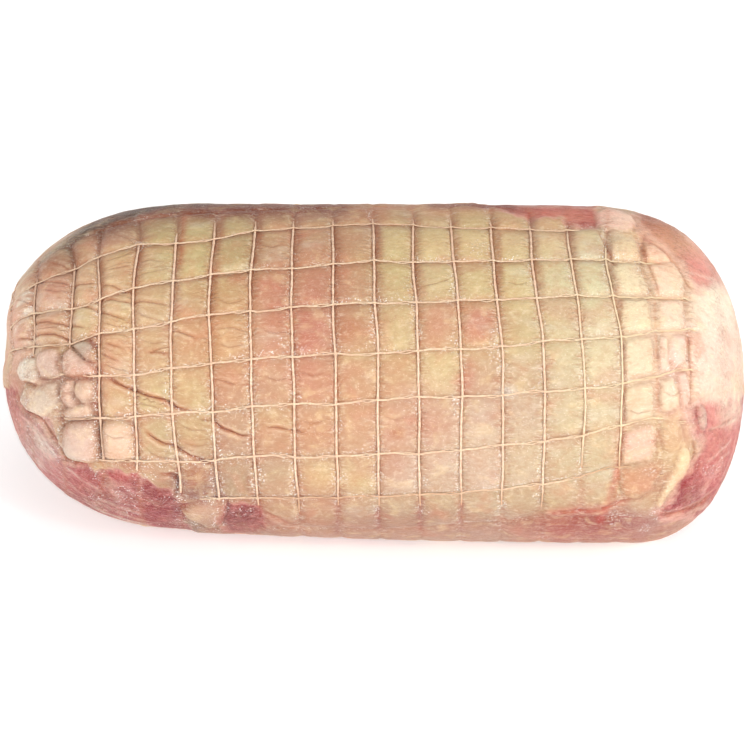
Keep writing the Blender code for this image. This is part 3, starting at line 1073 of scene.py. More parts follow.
def roast_relief(shell):
    """Relief of skin and meat, with the masks that its colours need."""
    folds, near = fold_field(shell)
    back, near_back = hidden_folds(shell)
    meat = meat_mask(shell)
    rough = (0.30 * fractal(shell.base, 9.0, 21, 3)
             + 0.10 * fractal(shell.base, 2.6, 22, 2))
    stretch = shell.base.copy()
    stretch[:, 0] *= 0.35
    fibre = meat * 0.22 * fractal(stretch, 2.4, 23, 2)
    closed = closed_over(shell.base, shell.px, shell.py,
                         net_weight(shell.facing, shell.px, shell.py))
    relief = (meat_relief(shell.p, shell.q) * (1.0 - closed) * taut(shell.facing)
              + lobe_relief(shell) + folds + back + rough + fibre
              - meat * (0.9 - 0.65 * smooth(shell.px, 560.0, 640.0)))
    return relief, meat, np.maximum(near, near_back)


def film_height(shell):
    """Relief of the film: it bridges the furrows, runs over the cords and
    never dips into what it covers."""
    under, meat, near = roast_relief(shell)
    w = seen_weight(shell)
    closed = closed_over(shell.base, shell.px, shell.py,
                         net_weight(shell.facing, shell.px, shell.py))
    keep = (1.0 - closed) * taut(shell.facing)
    soft = (0.38 + (film_relief(shell.p, shell.q) - 0.38) * keep
            + lump_field(shell.px, shell.py, w)
            + 0.20 * fractal(shell.base, 9.0, 21, 2))
    soft = soft - meat * (0.55 - 0.40 * smooth(shell.px, 560.0, 640.0))
    _, _, to_ring, to_strand = cell_parts(shell.p, shell.q)
    lumps = lump_field(shell.px, shell.py, w)
    t = taut(shell.facing)
    over_ring = ring_height(shell.p, shell.q) * t + lumps + RING_R + 0.12
    over_line = strand_height(shell.p, shell.q) * t + lumps + THREAD_R + 0.12
    has_net = (smooth(shell.p, 0.4, 1.0) * smooth(20.7 - shell.p, 0.0, 0.6)
               * smooth(0.5 - closed, 0.0, 0.4))
    on_ring = has_net * smooth(1.5 - to_ring, 0.0, 1.0)
    on_line = has_net * smooth(1.3 - to_strand, 0.0, 0.9)
    out = np.maximum(soft, under + 0.22)
    out = np.maximum(out, on_ring * over_ring + (1 - on_ring) * out)
    out = np.maximum(out, on_line * over_line + (1 - on_line) * out)
    return out, meat


# =============================================================================
# colours of the tissue
# =============================================================================
# painted light among these: shade, hollow and dusk are painted shade, band is juice darkened with
# painted shade, and the grey-beige sheen is a painted sheen of the film along the rims
TISSUE = {
    "cream": unit_rgb(202, 162, 124),
    "yellow": unit_rgb(208, 180, 126),
    "green": unit_rgb(216, 184, 134),
    "pale": unit_rgb(234, 210, 170),
    "blush": unit_rgb(242, 206, 180),
    "pink": unit_rgb(204, 132, 108),
    "rose": unit_rgb(236, 200, 182),
    "red": unit_rgb(194, 102, 84),
    "meat": unit_rgb(168, 62, 68),
    "deep": unit_rgb(136, 34, 48),
    "brown": unit_rgb(166, 108, 78),
    "rust": unit_rgb(192, 112, 72),
    "orange": unit_rgb(210, 138, 92),
    "white": unit_rgb(242, 226, 206),
    "grey": unit_rgb(200, 182, 164),
    "shade": unit_rgb(92, 62, 50),
    "band": unit_rgb(124, 58, 32),
    "hollow": unit_rgb(138, 60, 42),
    "salmon": unit_rgb(216, 120, 112),
    "rim_sheen": unit_rgb(206, 190, 166),
    "dusk": unit_rgb(174, 134, 118),
}

# tissue, strength, centre, radii and turn, one laid over the other; the dark ones along the top
# and the lower rim add painted shade
PATCHES = (
    ("yellow", 0.55, 215, 250, 90, 42, 0),
    ("yellow", 0.75, 150, 240, 30, 26, 0),
    ("yellow", 0.60, 395, 262, 24, 42, 0),
    ("orange", 0.22, 150, 330, 80, 60, 0),
    ("orange", 0.30, 230, 330, 40, 60, 0),
    ("pink", 0.40, 60, 285, 60, 30, -10),
    ("pink", 0.12, 110, 300, 60, 22, 0),
    ("pink", 0.50, 295, 315, 46, 95, 0),
    ("red", 0.35, 275, 290, 16, 50, 0),
    ("red", 0.25, 312, 330, 16, 50, 0),
    ("green", 0.60, 520, 300, 110, 90, 0),
    ("green", 0.60, 600, 340, 50, 110, 0),
    ("green", 0.75, 441, 372, 19, 22, 0),
    ("green", 0.60, 478, 262, 90, 30, 0),
    ("cream", 0.55, 560, 440, 110, 60, 0),
    ("pink", 0.60, 438, 326, 19, 20, 0),
    ("pink", 0.65, 480, 325, 20, 22, 0),
    ("red", 0.45, 478, 322, 12, 12, 0),
    ("pink", 0.60, 466, 378, 9, 18, 0),
    ("pink", 0.35, 400, 420, 60, 60, 0),
    ("pink", 0.30, 520, 385, 50, 30, 0),
    ("orange", 0.30, 330, 450, 60, 60, 0),
    ("rose", 0.20, 450, 420, 60, 50, 0),
    ("pale", 0.45, 625, 350, 60, 130, 0),
    ("pale", 0.35, 570, 400, 60, 90, 0),
    ("pale", 0.40, 590, 262, 60, 34, 0),
    ("pale", 0.55, 700, 330, 50, 80, 0),
    ("white", 0.50, 715, 350, 30, 60, 0),
    ("blush", 0.25, 420, 470, 150, 50, 0),
    ("blush", 0.45, 660, 330, 50, 90, 0),
    ("pink", 0.35, 480, 325, 20, 22, 0),
    ("orange", 0.80, 216, 268, 8, 8, 0),
    ("rust", 0.70, 241, 276, 9, 6, 10),
    ("rust", 0.45, 352, 331, 9, 6, 0),
    ("rust", 0.60, 397, 431, 8, 7, 0),
    ("white", 0.70, 511, 394, 11, 6, 0),
    ("brown", 0.70, 270, 204, 100, 16, 0),
    ("brown", 0.35, 90, 222, 60, 16, -25),
    ("rose", 0.80, 610, 219, 19, 14, 12),
    ("pink", 0.70, 660, 246, 30, 18, 40),
    ("rose", 0.80, 716, 350, 34, 66, 0),
    ("rose", 0.55, 676, 380, 14, 50, 0),
    ("pink", 0.55, 685, 385, 8, 26, 0),
    ("rose", 0.65, 39, 392, 24, 44, 0),
    ("rose", 0.75, 78, 384, 20, 40, 0),
    ("rose", 0.80, 78, 441, 22, 24, 0),
    ("rose", 0.50, 118, 440, 18, 24, 0),
    ("rose", 0.80, 202, 514, 22, 16, 0),
    ("cream", 0.60, 672, 478, 14, 26, 35),
    ("grey", 0.55, 640, 512, 26, 14, -12),
    ("red", 0.45, 595, 518, 40, 14, -6),
    ("dusk", 0.45, 430, 522, 180, 16, 0),
    ("pink", 0.40, 300, 500, 60, 22, 0),
    ("red", 0.40, 150, 470, 24, 8, 20),
    ("rim_sheen", 0.45, 66, 244, 44, 8, -38),
    ("rose", 0.55, 18, 352, 22, 36, 0),
    ("pink", 0.50, 14, 320, 12, 50, 0),
    ("pink", 0.45, 40, 300, 30, 30, -40),
    ("rim_sheen", 0.50, 26, 280, 22, 12, -55),
    ("band", 0.60, 110, 226, 44, 9, -18),
    ("band", 0.55, 66, 262, 24, 12, -30),
    ("orange", 0.75, 672, 240, 40, 18, 35),
    ("pink", 0.35, 470, 532, 230, 14, 1),
    ("brown", 0.40, 520, 528, 160, 12, 1),
    ("brown", 0.65, 654, 228, 20, 9, 20),
    ("pink", 0.60, 700, 268, 14, 18, -30),
    ("pink", 0.55, 692, 420, 22, 26, 0),
    ("grey", 0.60, 662, 520, 30, 10, -14),
    ("white", 0.40, 715, 335, 28, 60, 0),
    ("dusk", 0.14, 215, 440, 70, 50, 0),
    ("orange", 0.30, 195, 436, 14, 18, 0), ("pink", 0.30, 272, 430, 18, 20, 0),
    ("orange", 0.30, 316, 430, 18, 20, 0), ("pink", 0.30, 354, 378, 18, 20, 0),
    ("red", 0.60, 590, 524, 34, 14, -5), ("red", 0.40, 556, 530, 40, 8, 0),
    ("dusk", 0.60, 190, 492, 24, 8, 0),
    ("orange", 0.50, 198, 474, 12, 8, 0),
    ("dusk", 0.60, 205, 525, 50, 12, 0),
    ("band", 0.35, 610, 524, 60, 14, 0),
    ("dusk", 0.65, 650, 520, 60, 18, -8),
    ("dusk", 0.50, 500, 534, 240, 12, 1),
    ("pink", 0.40, 16, 345, 12, 30, 0),
    ("red", 0.35, 22, 384, 12, 9, 20),
    ("pink", 0.40, 40, 330, 24, 10, 0),
)

# cells whose tissue stands out: tissue, strength, rings and strands they lie
# between, first and last
CELL_LOOKS = (
    ("yellow", 0.60, 5, 6, -1, 0), ("yellow", 0.45, 7, 7, -1, 0), ("yellow", 0.40, 4, 5, 1, 1),
    ("rust", 0.35, 9, 9, 0, 0), ("rust", 0.30, 10, 10, 0, 1), ("brown", 0.25, 8, 8, 0, 0), ("pink", 0.35, 9, 10, -1, 0), ("green", 0.75, 11, 11, 0, 2),
    ("green", 0.45, 12, 13, 0, 1), ("brown", 0.22, 12, 13, 1, 1), ("green", 0.45, 15, 16, 0, 1),
    ("pink", 0.42, 8, 9, 1, 3), ("red", 0.35, 9, 9, 1, 2), ("pink", 0.45, 10, 10, 1, 2),
    ("rust", 0.20, 10, 10, 2, 2), ("pink", 0.50, 12, 12, 2, 2), ("pink", 0.48, 13, 13, 2, 2),
    ("brown", 0.25, 13, 13, 2, 2), ("green", 0.70, 14, 14, 1, 2), ("green", 0.50, 15, 16, 2, 4),
    ("pink", 0.40, 9, 9, 3, 4), ("orange", 0.25, 10, 11, 3, 3), ("green", 0.60, 12, 12, 3, 3),
    ("pink", 0.40, 13, 13, 3, 3), ("orange", 0.30, 8, 8, 4, 4), ("orange", 0.30, 10, 10, 4, 4),
    ("pink", 0.45, 11, 12, 4, 4), ("rose", 0.35, 13, 14, 4, 5), ("yellow", 0.60, 10, 10, 5, 5),
    ("yellow", 0.40, 9, 9, 5, 5), ("rose", 0.45, 11, 13, 5, 5), ("pink", 0.25, 11, 13, 5, 5),
    ("grey", 0.10, 7, 8, 5, 5), ("orange", 0.30, 6, 7, 2, 3), ("brown", 0.15, 6, 7, 1, 1),
    ("orange", 0.25, 15, 16, 5, 5), ("pink", 0.55, 7, 7, 3, 3), ("pink", 0.35, 7, 7, 4, 4),
    ("yellow", 0.35, 6, 6, 3, 4), ("yellow", 0.35, 3, 4, 0, 1), ("yellow", 0.30, 4, 5, 3, 4),
)

# tints of the bare meat, laid like the patches
MEAT_PATCHES = (
    ("salmon", 0.85, 715, 440, 26, 46, 12),
    ("deep", 0.75, 688, 488, 14, 22, 10),
    ("deep", 0.70, 674, 506, 22, 8, -16),
    ("deep", 0.55, 84, 470, 34, 12, 20),
    ("deep", 0.85, 165, 508, 26, 22, 0),
    ("deep", 0.95, 240, 517, 20, 14, 0),
    ("salmon", 0.65, 14, 404, 12, 26, 0),
    ("salmon", 0.35, 52, 470, 40, 20, 35),
    ("salmon", 0.25, 124, 478, 22, 12, 10),
    ("orange", 0.80, 668, 240, 50, 26, 38),
    ("blush", 0.60, 690, 250, 44, 22, 42),
    ("pink", 0.70, 550, 214, 80, 14, 3), ("band", 0.45, 505, 208, 30, 6, 3),
    ("red", 0.45, 592, 218, 8, 12, 0),
    ("band", 0.70, 660, 228, 26, 12, 25),
    ("orange", 0.35, 678, 246, 26, 10, 42),
    ("salmon", 0.70, 702, 270, 16, 22, -30),
    ("blush", 0.55, 728, 300, 20, 24, 0),
    ("rose", 0.40, 34, 434, 20, 34, -38),
    ("rose", 0.35, 730, 410, 16, 20, 0),
)

# stains, and painted light and shade, that make all of it darker or lighter: centre, radii,
# turn, and the share that is left of red, green and blue
STAINS_AND_PAINTED_LIGHT = (
    (84, 300, 44, 40, 0, (0.98, 1.20, 1.34)), (24, 322, 20, 46, 0, (1.10, 1.30, 1.38)),
    (136, 234, 42, 13, -8, (0.80, 0.72, 0.76)), (66, 392, 46, 62, 0, (0.80, 0.80, 0.80)),
    (118, 440, 16, 18, 0, (0.92, 0.87, 0.85)), (14, 404, 12, 26, 0, (0.78, 0.66, 0.66)),
    (110, 496, 74, 20, 12, (0.84, 0.80, 0.78)), (190, 484, 44, 22, 0, (0.82, 0.72, 0.72)),
    (182, 527, 28, 9, 0, (0.74, 0.68, 0.68)), (244, 519, 24, 15, 0, (0.84, 0.30, 0.36)),
    (240, 450, 56, 22, 0, (0.95, 0.88, 0.90)), (300, 524, 44, 13, 0, (0.94, 0.80, 0.76)),
    (430, 527, 110, 14, 0, (0.98, 0.92, 0.90)), (580, 524, 62, 19, -3, (0.94, 0.45, 0.49)),
    (642, 524, 56, 18, -6, (0.93, 0.64, 0.68)), (650, 478, 20, 16, 0, (0.95, 0.83, 0.92)),
    (338, 478, 40, 14, 0, (1.15, 1.18, 1.10)), (520, 395, 80, 40, 0, (0.90, 0.88, 0.92)),
    (520, 320, 20, 18, 0, (0.88, 0.84, 0.86)), (480, 242, 110, 14, 0, (1.14, 1.08, 1.08)),
    (235, 240, 40, 20, 0, (0.96, 0.94, 0.94)), (345, 300, 60, 46, 0, (0.92, 0.88, 0.90)),
    (565, 345, 36, 50, 0, (0.92, 0.92, 0.95)), (652, 238, 60, 26, 35, (1.26, 1.22, 1.16)),
    (712, 285, 30, 46, 0, (1.10, 1.22, 1.22)), (722, 355, 24, 40, 0, (0.96, 0.92, 0.93)),
    (712, 452, 22, 26, 10, (0.82, 0.80, 0.76)), (690, 482, 12, 18, 0, (1.0, 0.74, 0.72)),
    (736, 408, 12, 16, 0, (1.1, 1.5, 1.4)), (720, 418, 14, 14, 0, (1.0, 1.25, 1.20)),
    (80, 441, 26, 30, 0, (0.88, 0.88, 0.90)), (42, 398, 20, 22, 0, (0.90, 0.88, 0.87)),
    (50, 364, 16, 14, 0, (0.93, 0.94, 0.96)), (200, 479, 20, 15, 0, (0.92, 0.70, 0.68)),
    (122, 467, 14, 7, 0, (0.84, 0.74, 0.80)), (150, 471, 11, 7, 0, (1.12, 1.35, 1.35)),
    (240, 208, 110, 13, 0, (0.92, 0.76, 0.70)), (350, 208, 70, 12, 0, (0.96, 0.84, 0.78)),
    (500, 208, 100, 12, 0, (1.08, 0.88, 0.86)), (640, 400, 24, 60, 0, (0.98, 0.94, 0.99)),
    (684, 256, 22, 12, 35, (0.88, 0.86, 0.87)), (656, 230, 16, 8, 20, (1.15, 1.18, 1.18)),
    (206, 512, 20, 12, 0, (1.04, 0.98, 0.96)), (236, 496, 40, 22, 0, (0.92, 0.86, 0.86)),
    (225, 531, 50, 9, 0, (0.82, 0.70, 0.70)), (40, 466, 36, 32, 35, (1.0, 1.42, 1.50)),
    (100, 510, 50, 13, 15, (0.86, 1.0, 1.0)), (190, 493, 22, 9, 0, (0.88, 0.74, 0.82)),
    (175, 483, 7, 12, 0, (0.66, 0.40, 0.40)), (645, 340, 40, 120, 0, (0.97, 1.02, 1.07)),
    (580, 285, 44, 22, 0, (1.0, 1.09, 1.13)), (578, 456, 38, 22, 0, (1.02, 1.08, 1.10)),
    (578, 486, 38, 16, 0, (1.07, 1.04, 1.04)), (304, 490, 30, 20, 0, (1.07, 1.08, 1.06)),
    (238, 250, 34, 22, 0, (0.90, 0.87, 0.88)), (372, 322, 32, 26, 0, (0.97, 0.92, 0.92)),
    (238, 388, 32, 22, 0, (0.94, 0.92, 0.97)), (86, 350, 15, 15, 0, (0.86, 0.86, 0.87)),
    (46, 418, 14, 16, 0, (1.12, 1.14, 1.14)), (400, 208, 110, 12, 0, (1.02, 0.94, 0.93)),
    (246, 524, 34, 13, 0, (0.84, 0.78, 0.80)), (176, 490, 28, 13, 0, (0.95, 0.84, 0.88)),
    (560, 216, 50, 14, 0, (1.08, 0.84, 0.80)),
    (230, 208, 62, 8, -2, (0.96, 0.88, 0.87)), (368, 209, 64, 8, 0, (0.97, 0.89, 0.86)),
    (178, 488, 42, 20, 14, (0.96, 0.89, 0.92)), (242, 518, 40, 14, 6, (0.92, 0.87, 0.89)),
    (712, 515, 20, 22, 0, (0.84, 0.97, 0.95)), (40, 490, 22, 24, 0, (1.0, 1.10, 1.12)),
    (668, 395, 10, 18, 0, (0.97, 0.95, 1.05)), (640, 445, 18, 20, 0, (0.95, 0.84, 0.88)),
)

# stains, painted shade in the hollows beside the cords and along the rims, and painted
# sheen and glints of the film: tissue, strength, half width, run
STREAKS = (
    ("white", 0.60, 0.9, [(22, 309), (31, 300)]),
    ("white", 0.55, 0.9, [(23, 320), (33, 309)]),
    ("white", 0.50, 0.9, [(26, 298), (37, 290)]),
    ("white", 0.50, 0.9, [(17, 332), (24, 322)]),
    ("white", 0.50, 1.0, [(52, 246), (66, 237), (80, 230)]),
    ("white", 0.45, 1.0, [(62, 246), (78, 236), (94, 229)]),
    ("rose", 0.70, 1.0, [(18, 414), (32, 430), (42, 446)]),
    ("rose", 0.60, 1.0, [(30, 424), (44, 442), (54, 458)]),
    ("rose", 0.60, 0.9, [(66, 470), (84, 484), (100, 492)]),
    ("rose", 0.50, 0.9, [(100, 502), (120, 510), (140, 516)]),
    ("rose", 0.60, 0.9, [(700, 435), (716, 428), (736, 420)]),
    ("rose", 0.60, 0.9, [(708, 462), (720, 452), (732, 440)]),
    ("rose", 0.50, 0.9, [(704, 474), (718, 464), (730, 452)]),
    ("rose", 0.60, 0.9, [(684, 272), (698, 274), (716, 280)]),
    ("rim_sheen", 0.55, 1.4, [(60, 506), (90, 520), (130, 530), (180, 535)]),
    ("white", 0.50, 1.0, [(100, 513), (128, 523), (150, 528)]),
    ("hollow", 0.85, 3.0, [(90, 340), (95, 345), (97, 354), (97, 366), (99, 373)]),
    ("hollow", 0.60, 2.4, [(97, 376), (97, 384), (96, 396)]),
    ("hollow", 0.85, 3.4, [(93, 402), (97, 405), (97, 414)]),
    ("brown", 0.75, 3.0, [(96, 424), (99, 440), (99, 456)]),
    ("brown", 0.55, 2.6, [(133, 424), (135, 440), (136, 452)]),
    ("hollow", 0.70, 2.6, [(111, 379), (115, 383)]),
    ("brown", 0.50, 2.2, [(62, 352), (62, 372)]),
    ("brown", 0.50, 2.2, [(60, 382), (60, 408)]),
    ("hollow", 0.50, 2.0, [(42, 379), (60, 379), (76, 377), (96, 377)]),
    ("hollow", 0.45, 2.0, [(60, 420), (78, 420), (96, 420)]),
    ("band", 0.90, 9.0, [(100, 232), (140, 217), (170, 212), (200, 211), (250, 209)]),
    ("band", 0.92, 9.0, [(200, 209), (260, 208), (342, 208)]),
    ("band", 0.90, 5.0, [(432, 206), (470, 207), (512, 207)]),
    ("shade", 0.55, 2.6, [(120, 213), (160, 207), (220, 204), (300, 202), (350, 201)]),
    ("shade", 0.80, 1.7, [(84, 230), (98, 221), (115, 214), (132, 210), (150, 208)]),
    ("shade", 0.70, 1.5, [(96, 232), (110, 223), (126, 216), (146, 212)]),
    ("shade", 0.55, 1.5, [(62, 248), (84, 234), (100, 227), (116, 220), (136, 215)]),
    ("shade", 0.85, 5.5, [(66, 247), (80, 235), (94, 226), (112, 217), (130, 212),
                          (152, 209), (176, 206)]),
    ("rim_sheen", 0.45, 1.2, [(40, 262), (56, 248), (72, 237), (90, 228), (108, 220)]),
    ("rim_sheen", 0.50, 1.2, [(30, 272), (46, 258), (60, 247), (76, 238), (92, 232)]),
    ("shade", 0.30, 0.9, [(610, 209), (640, 214), (670, 222), (694, 236), (712, 256),
                          (724, 280)]),
    ("dusk", 0.60, 12.0, [(250, 532), (340, 535), (420, 537), (520, 538), (640, 539)]),
    ("dusk", 0.70, 5.0, [(240, 536), (340, 538), (440, 541), (540, 542), (650, 543)]),
    ("shade", 0.50, 1.0, [(722, 484), (732, 466), (739, 446), (743, 424)]),
    ("rust", 0.65, 2.4, [(148, 394), (160, 398), (170, 405)]),
    ("rust", 0.70, 3.0, [(180, 262), (182, 240), (184, 218)]),
    ("brown", 0.70, 3.6, [(216, 248), (220, 232), (222, 218)]),
    ("brown", 0.70, 3.6, [(259, 245), (260, 230), (261, 216)]),
    ("brown", 0.60, 3.4, [(298, 250), (299, 232), (300, 216)]),
    ("brown", 0.55, 3.2, [(378, 255), (377, 240), (377, 228)]),
    ("brown", 0.55, 3.4, [(498, 297), (499, 266), (499, 236)]),
    ("brown", 0.40, 3.0, [(457, 262), (457, 236)]),
    ("brown", 0.50, 3.6, [(255, 460), (255, 478), (256, 494)]),
    ("brown", 0.45, 1.8, [(625, 340), (625, 400), (623, 450)]),
    ("rust", 0.35, 1.4, [(655, 300), (657, 340), (658, 372)]),
    ("rust", 0.40, 1.4, [(657, 378), (658, 400), (659, 412)]),
    ("brown", 0.40, 1.2, [(659, 420), (658, 436), (656, 452)]),
    ("brown", 0.65, 1.6, [(621, 300), (620, 330), (623, 346), (624, 372)]),
    ("brown", 0.65, 1.6, [(625, 386), (623, 404), (622, 420)]),
    ("brown", 0.75, 1.6, [(622, 430), (621, 448), (619, 464), (618, 480)]),
    ("hollow", 0.35, 1.2, [(610, 246), (612, 268), (615, 290)]),
    ("hollow", 0.40, 1.8, [(612, 480), (614, 500), (612, 520), (604, 530)]),
    ("rust", 0.35, 1.8, [(643, 248), (650, 270), (656, 292)]),
    ("rust", 0.30, 1.4, [(688, 332), (690, 360), (690, 398)]),
    ("deep", 0.55, 3.0, [(378, 510), (379, 530)]),
    ("deep", 0.55, 3.4, [(420, 500), (421, 530)]),
    ("deep", 0.45, 3.0, [(337, 505), (337, 532)]),
    ("deep", 0.45, 3.0, [(461, 505), (461, 530)]),
    ("rust", 0.50, 1.8, [(620, 448), (618, 478), (614, 500)]),
    ("deep", 0.50, 2.2, [(172, 476), (178, 486), (174, 498)]),
    ("deep", 0.80, 2.2, [(205, 491), (206, 495)]),
    ("deep", 0.80, 2.2, [(223, 495), (224, 499)]),
    ("shade", 0.45, 1.1, [(226, 203), (300, 201), (360, 201)]),
    ("rim_sheen", 0.40, 0.9, [(440, 200), (480, 203), (520, 206), (560, 208)]),
    ("red", 0.55, 3.0, [(617, 468), (612, 486), (606, 504), (600, 520)]),
    ("red", 0.45, 2.6, [(548, 512), (575, 511), (600, 509), (612, 504), (626, 500)]),
    ("hollow", 0.45, 2.2, [(249, 474), (248, 484), (252, 494)]),
)


def glint_field(shell):
    """How strongly the film glints, and how many painted glints and specks the skin and the film
    get, 0 to 1.
    """
    w = seen_weight(shell)
    u, v, _, _ = cell_parts(shell.p, shell.q)
    out = (0.08 + 0.20 * smooth(fractal(shell.base, 14.0, 82, 3), 0.0, 0.5)
           + 0.45 * np.maximum(smooth(u, 0.62, 0.95), smooth(v, 0.72, 0.97))
           * smooth(fractal(shell.base, 22.0, 83, 2), -0.15, 0.35))
    area = w * smooth(345.0 - shell.px, 0.0, 70.0) * smooth(shell.py, 340.0, 400.0)
    rim = (np.abs(u - np.round(u)) * RING_PITCH < 3.2) | (np.abs(v - np.round(v)) * 20.5 < 2.4)
    out = out + area * (0.02 + 0.22 * rim)
    for x, y, rx, ry in GLINTS:
        out = np.maximum(out, w * 1.2 * blob(shell.px, shell.py, x, y, rx, ry))
    return np.clip(out, 0.0, 1.0)


def over(colour, tint, amount):
    amount = np.clip(amount, 0.0, 1.0)[:, None]
    return colour * (1.0 - amount) + TISSUE[tint] * amount


def tissue_colour(shell, meat, near):
    pts = shell.base
    n = len(shell.p)
    w = smooth(shell.facing + 0.08 * fractal(pts, 17.0, 95, 3), -0.05, 0.09)
    k, j = np.floor(shell.p), np.floor(shell.q)
    u, v, to_ring, to_strand = cell_parts(shell.p, shell.q)
    stretch = pts.copy()
    stretch[:, 0] *= 0.5
    wide = fractal(pts, 46.0, 31, 3)
    mid = fractal(stretch, 15.0, 32, 3)
    fine = fractal(stretch, 4.0, 33, 2)
    cell = cell_noise(k, j, 34)

    c = np.tile(TISSUE["cream"], (n, 1))
    c = over(c, "green", 0.35 * smooth(wide + 0.5 * cell, 0.0, 0.8) * w)
    c = over(c, "yellow", 0.45 * smooth(mid + 0.6 * cell, 0.1, 0.7))
    # the hidden side has wider patches of the same tissue
    hidden = 1.0 - w
    c = over(c, "pink", 0.65 * smooth(wide, 0.05, 0.45) * hidden)
    c = over(c, "yellow", 0.55 * smooth(-wide, 0.10, 0.5) * hidden)
    deg = turned(shell.a)
    rear = hidden * smooth(-deg, 10.0, 30.0) * smooth(deg, -125.0, -55.0)
    c = over(c, "rust", 0.34 * rear * (0.75 + 0.8 * mid))
    c = over(c, "pink", 0.30 * hidden * smooth(cell + mid, 0.2, 0.9))
    c = over(c, "pale", 0.45 * hidden * smooth(shell.base[:, 0], 84.0, 112.0))

    window = (1.0 - np.abs(2 * u - 1) ** 4) * (1.0 - np.abs(2 * v - 1) ** 4)
    rising = smooth(u + 0.12 * mid, 0.0, 0.75)
    turn_of = np.where(j >= STRANDS - 2, j - STRANDS, j)
    for tint, strength, k0, k1, j0, j1 in CELL_LOOKS:
        here = (k >= k0) & (k <= k1) & (turn_of >= j0) & (turn_of <= j1)
        # painted light: pale tints grow towards the right of each cell and darker ones towards
        # its left, as if lit from the right
        lit_slope = (0.55 + 0.70 * rising if tint in ("green", "yellow", "rose", "grey")
                 else 1.15 - 0.40 * rising)
        c = over(c, tint, strength * w * here * (0.3 + 0.7 * window) * lit_slope
                 * (1.0 + 0.7 * mid + 0.3 * fine))
    wx = shell.px + 5.0 * noise(pts, 12.0, 35) + 2.0 * fine
    wy = shell.py + 5.0 * noise(pts, 12.0, 36) + 2.0 * fine
    for tint, strength, x, y, rx, ry, turn in PATCHES:
        amount = blob(wx, wy, x, y, rx, ry, turn) * (1.0 + 0.35 * fine)
        c = over(c, tint, strength * w * amount)
    c = over(c, "pink", 0.35 * smooth(fractal(stretch, 9.0, 37, 2), 0.15, 0.6))
    c = over(c, "white", 0.25 * smooth(fractal(stretch, 7.0, 38, 3), 0.2, 0.7))

    # the shown middle is less red than both ends
    dim = (w * smooth(shell.px, 90.0, 170.0) * smooth(665.0 - shell.px, 0.0, 60.0))[:, None]
    c = c * (1.0 - dim * np.array([0.13, 0.03, 0.0]))
    # painted shade: the lower part of the shown side is made darker
    low = (w * smooth(shell.py, 370.0, 500.0) * smooth(shell.px, 60.0, 200.0))[:, None]
    c = c * (1.0 - 0.15 * low)

    # meat under the edge of the skin, with paler fat and membrane on it
    grain = pts.copy()
    grain[:, 0] *= 0.55
    g = fractal(grain, 3.4, 39, 3)
    flesh = np.tile(TISSUE["meat"], (n, 1))
    flesh = over(flesh, "deep", 0.75 * smooth(fractal(pts, 17.0, 40, 2), -0.1, 0.5))
    flesh = over(flesh, "red", 0.32 * smooth(g, -0.1, 0.5))
    flesh = over(flesh, "rose", 0.50 * smooth(fractal(grain, 7.0, 41, 3), 0.12, 0.42))
    flesh = over(flesh, "white", 0.30 * smooth(g + 0.4 * noise(pts, 10.0, 42), 0.45, 0.8))
    speckle = fractal(pts, 2.2, 46, 2)
    flesh = over(flesh, "rose", 0.34 * smooth(speckle, 0.05, 0.55))
    flesh = over(flesh, "deep", 0.45 * smooth(-speckle, 0.05, 0.55))
    for tint, strength, x, y, rx, ry, turn in MEAT_PATCHES:
        amount = blob(wx, wy, x, y, rx, ry, turn) * (1.0 + 0.3 * fine)
        flesh = over(flesh, tint, strength * w * amount)
    c = c * (1.0 - meat[:, None]) + flesh * meat[:, None]
    rim = 4.0 * meat * (1.0 - meat)
    c = over(c, "rose", 0.45 * rim)

    for (_, soft, tint, strength, dark, outline), m, d, lw in lobe_places(shell):
        reach = 1.3 if outline[0][0] < 110 else 1.8
        dark = dark * (0.72 if outline[0][0] < 110 else 0.55 if outline[0][0] > 600 else 1.0)
        a = np.zeros(n)
        a[m] = smooth(d, 0.0, 0.5 * soft) * lw
        c = over(c, tint, strength * a )
        # painted shade in the crease round each lobe
        a[m] = np.exp(-np.maximum(d, 0.0) / reach) * smooth(d, -2.5, 0.0) * lw
        c = over(c, "brown", 0.60 * dark * a)
        a[m] = np.exp(-((d - 0.1) / 1.05) ** 2) * lw
        c = over(c, "hollow", 0.95 * dark * a)

    # juice and painted shade beside the cords and in the folds
    side = np.where(u < 0.5, 1.0, 0.55)
    beside = furrow(np.maximum(to_ring - 0.4, 0.0), 1.3) * side
    along = furrow(np.maximum(to_strand - 0.3, 0.0), 1.0)
    net = smooth(shell.p, 0.2, 1.5) * smooth(20.6 - shell.p, 0.0, 1.5)
    patchy = ((0.55 + 0.45 * smooth(noise(pts, 13.0, 43), -0.4, 0.6))
              * (1.0 - 0.55 * w * plump(shell.p, shell.q))
              * (1.0 - 0.60 * w * smooth(shell.px, 636.0, 652.0)))
    c = over(c, "rust", 0.38 * beside * net * patchy)
    c = over(c, "brown", 0.22 * along * net * patchy)
    c = over(c, "rust", 0.75 * near)
    nx = shell.px + 1.0 * noise(pts, 5.0, 44)
    ny = shell.py + 1.0 * noise(pts, 5.0, 45)
    for tint, strength, half, line in STREAKS:
        x = [q[0] for q in line]
        y = [q[1] for q in line]
        m = ((shell.px > min(x) - 16) & (shell.px < max(x) + 16)
             & (shell.py > min(y) - 16) & (shell.py < max(y) + 16) & (w > 0))
        if not m.any():
            continue
        r, t = line_distance(nx[m], ny[m], line)
        a = np.zeros(n)
        a[m] = np.exp(-(r / half) ** 2) * w[m]
        c = over(c, tint, strength * a)
    # stains, and painted light and shade, over everything
    for x, y, rx, ry, turn, left in STAINS_AND_PAINTED_LIGHT:
        a = (w * blob(wx, wy, x, y, rx, ry, turn))[:, None]
        c = c * (1.0 - a * (1.0 - np.array(left)))
    return np.minimum(c, 0.97)


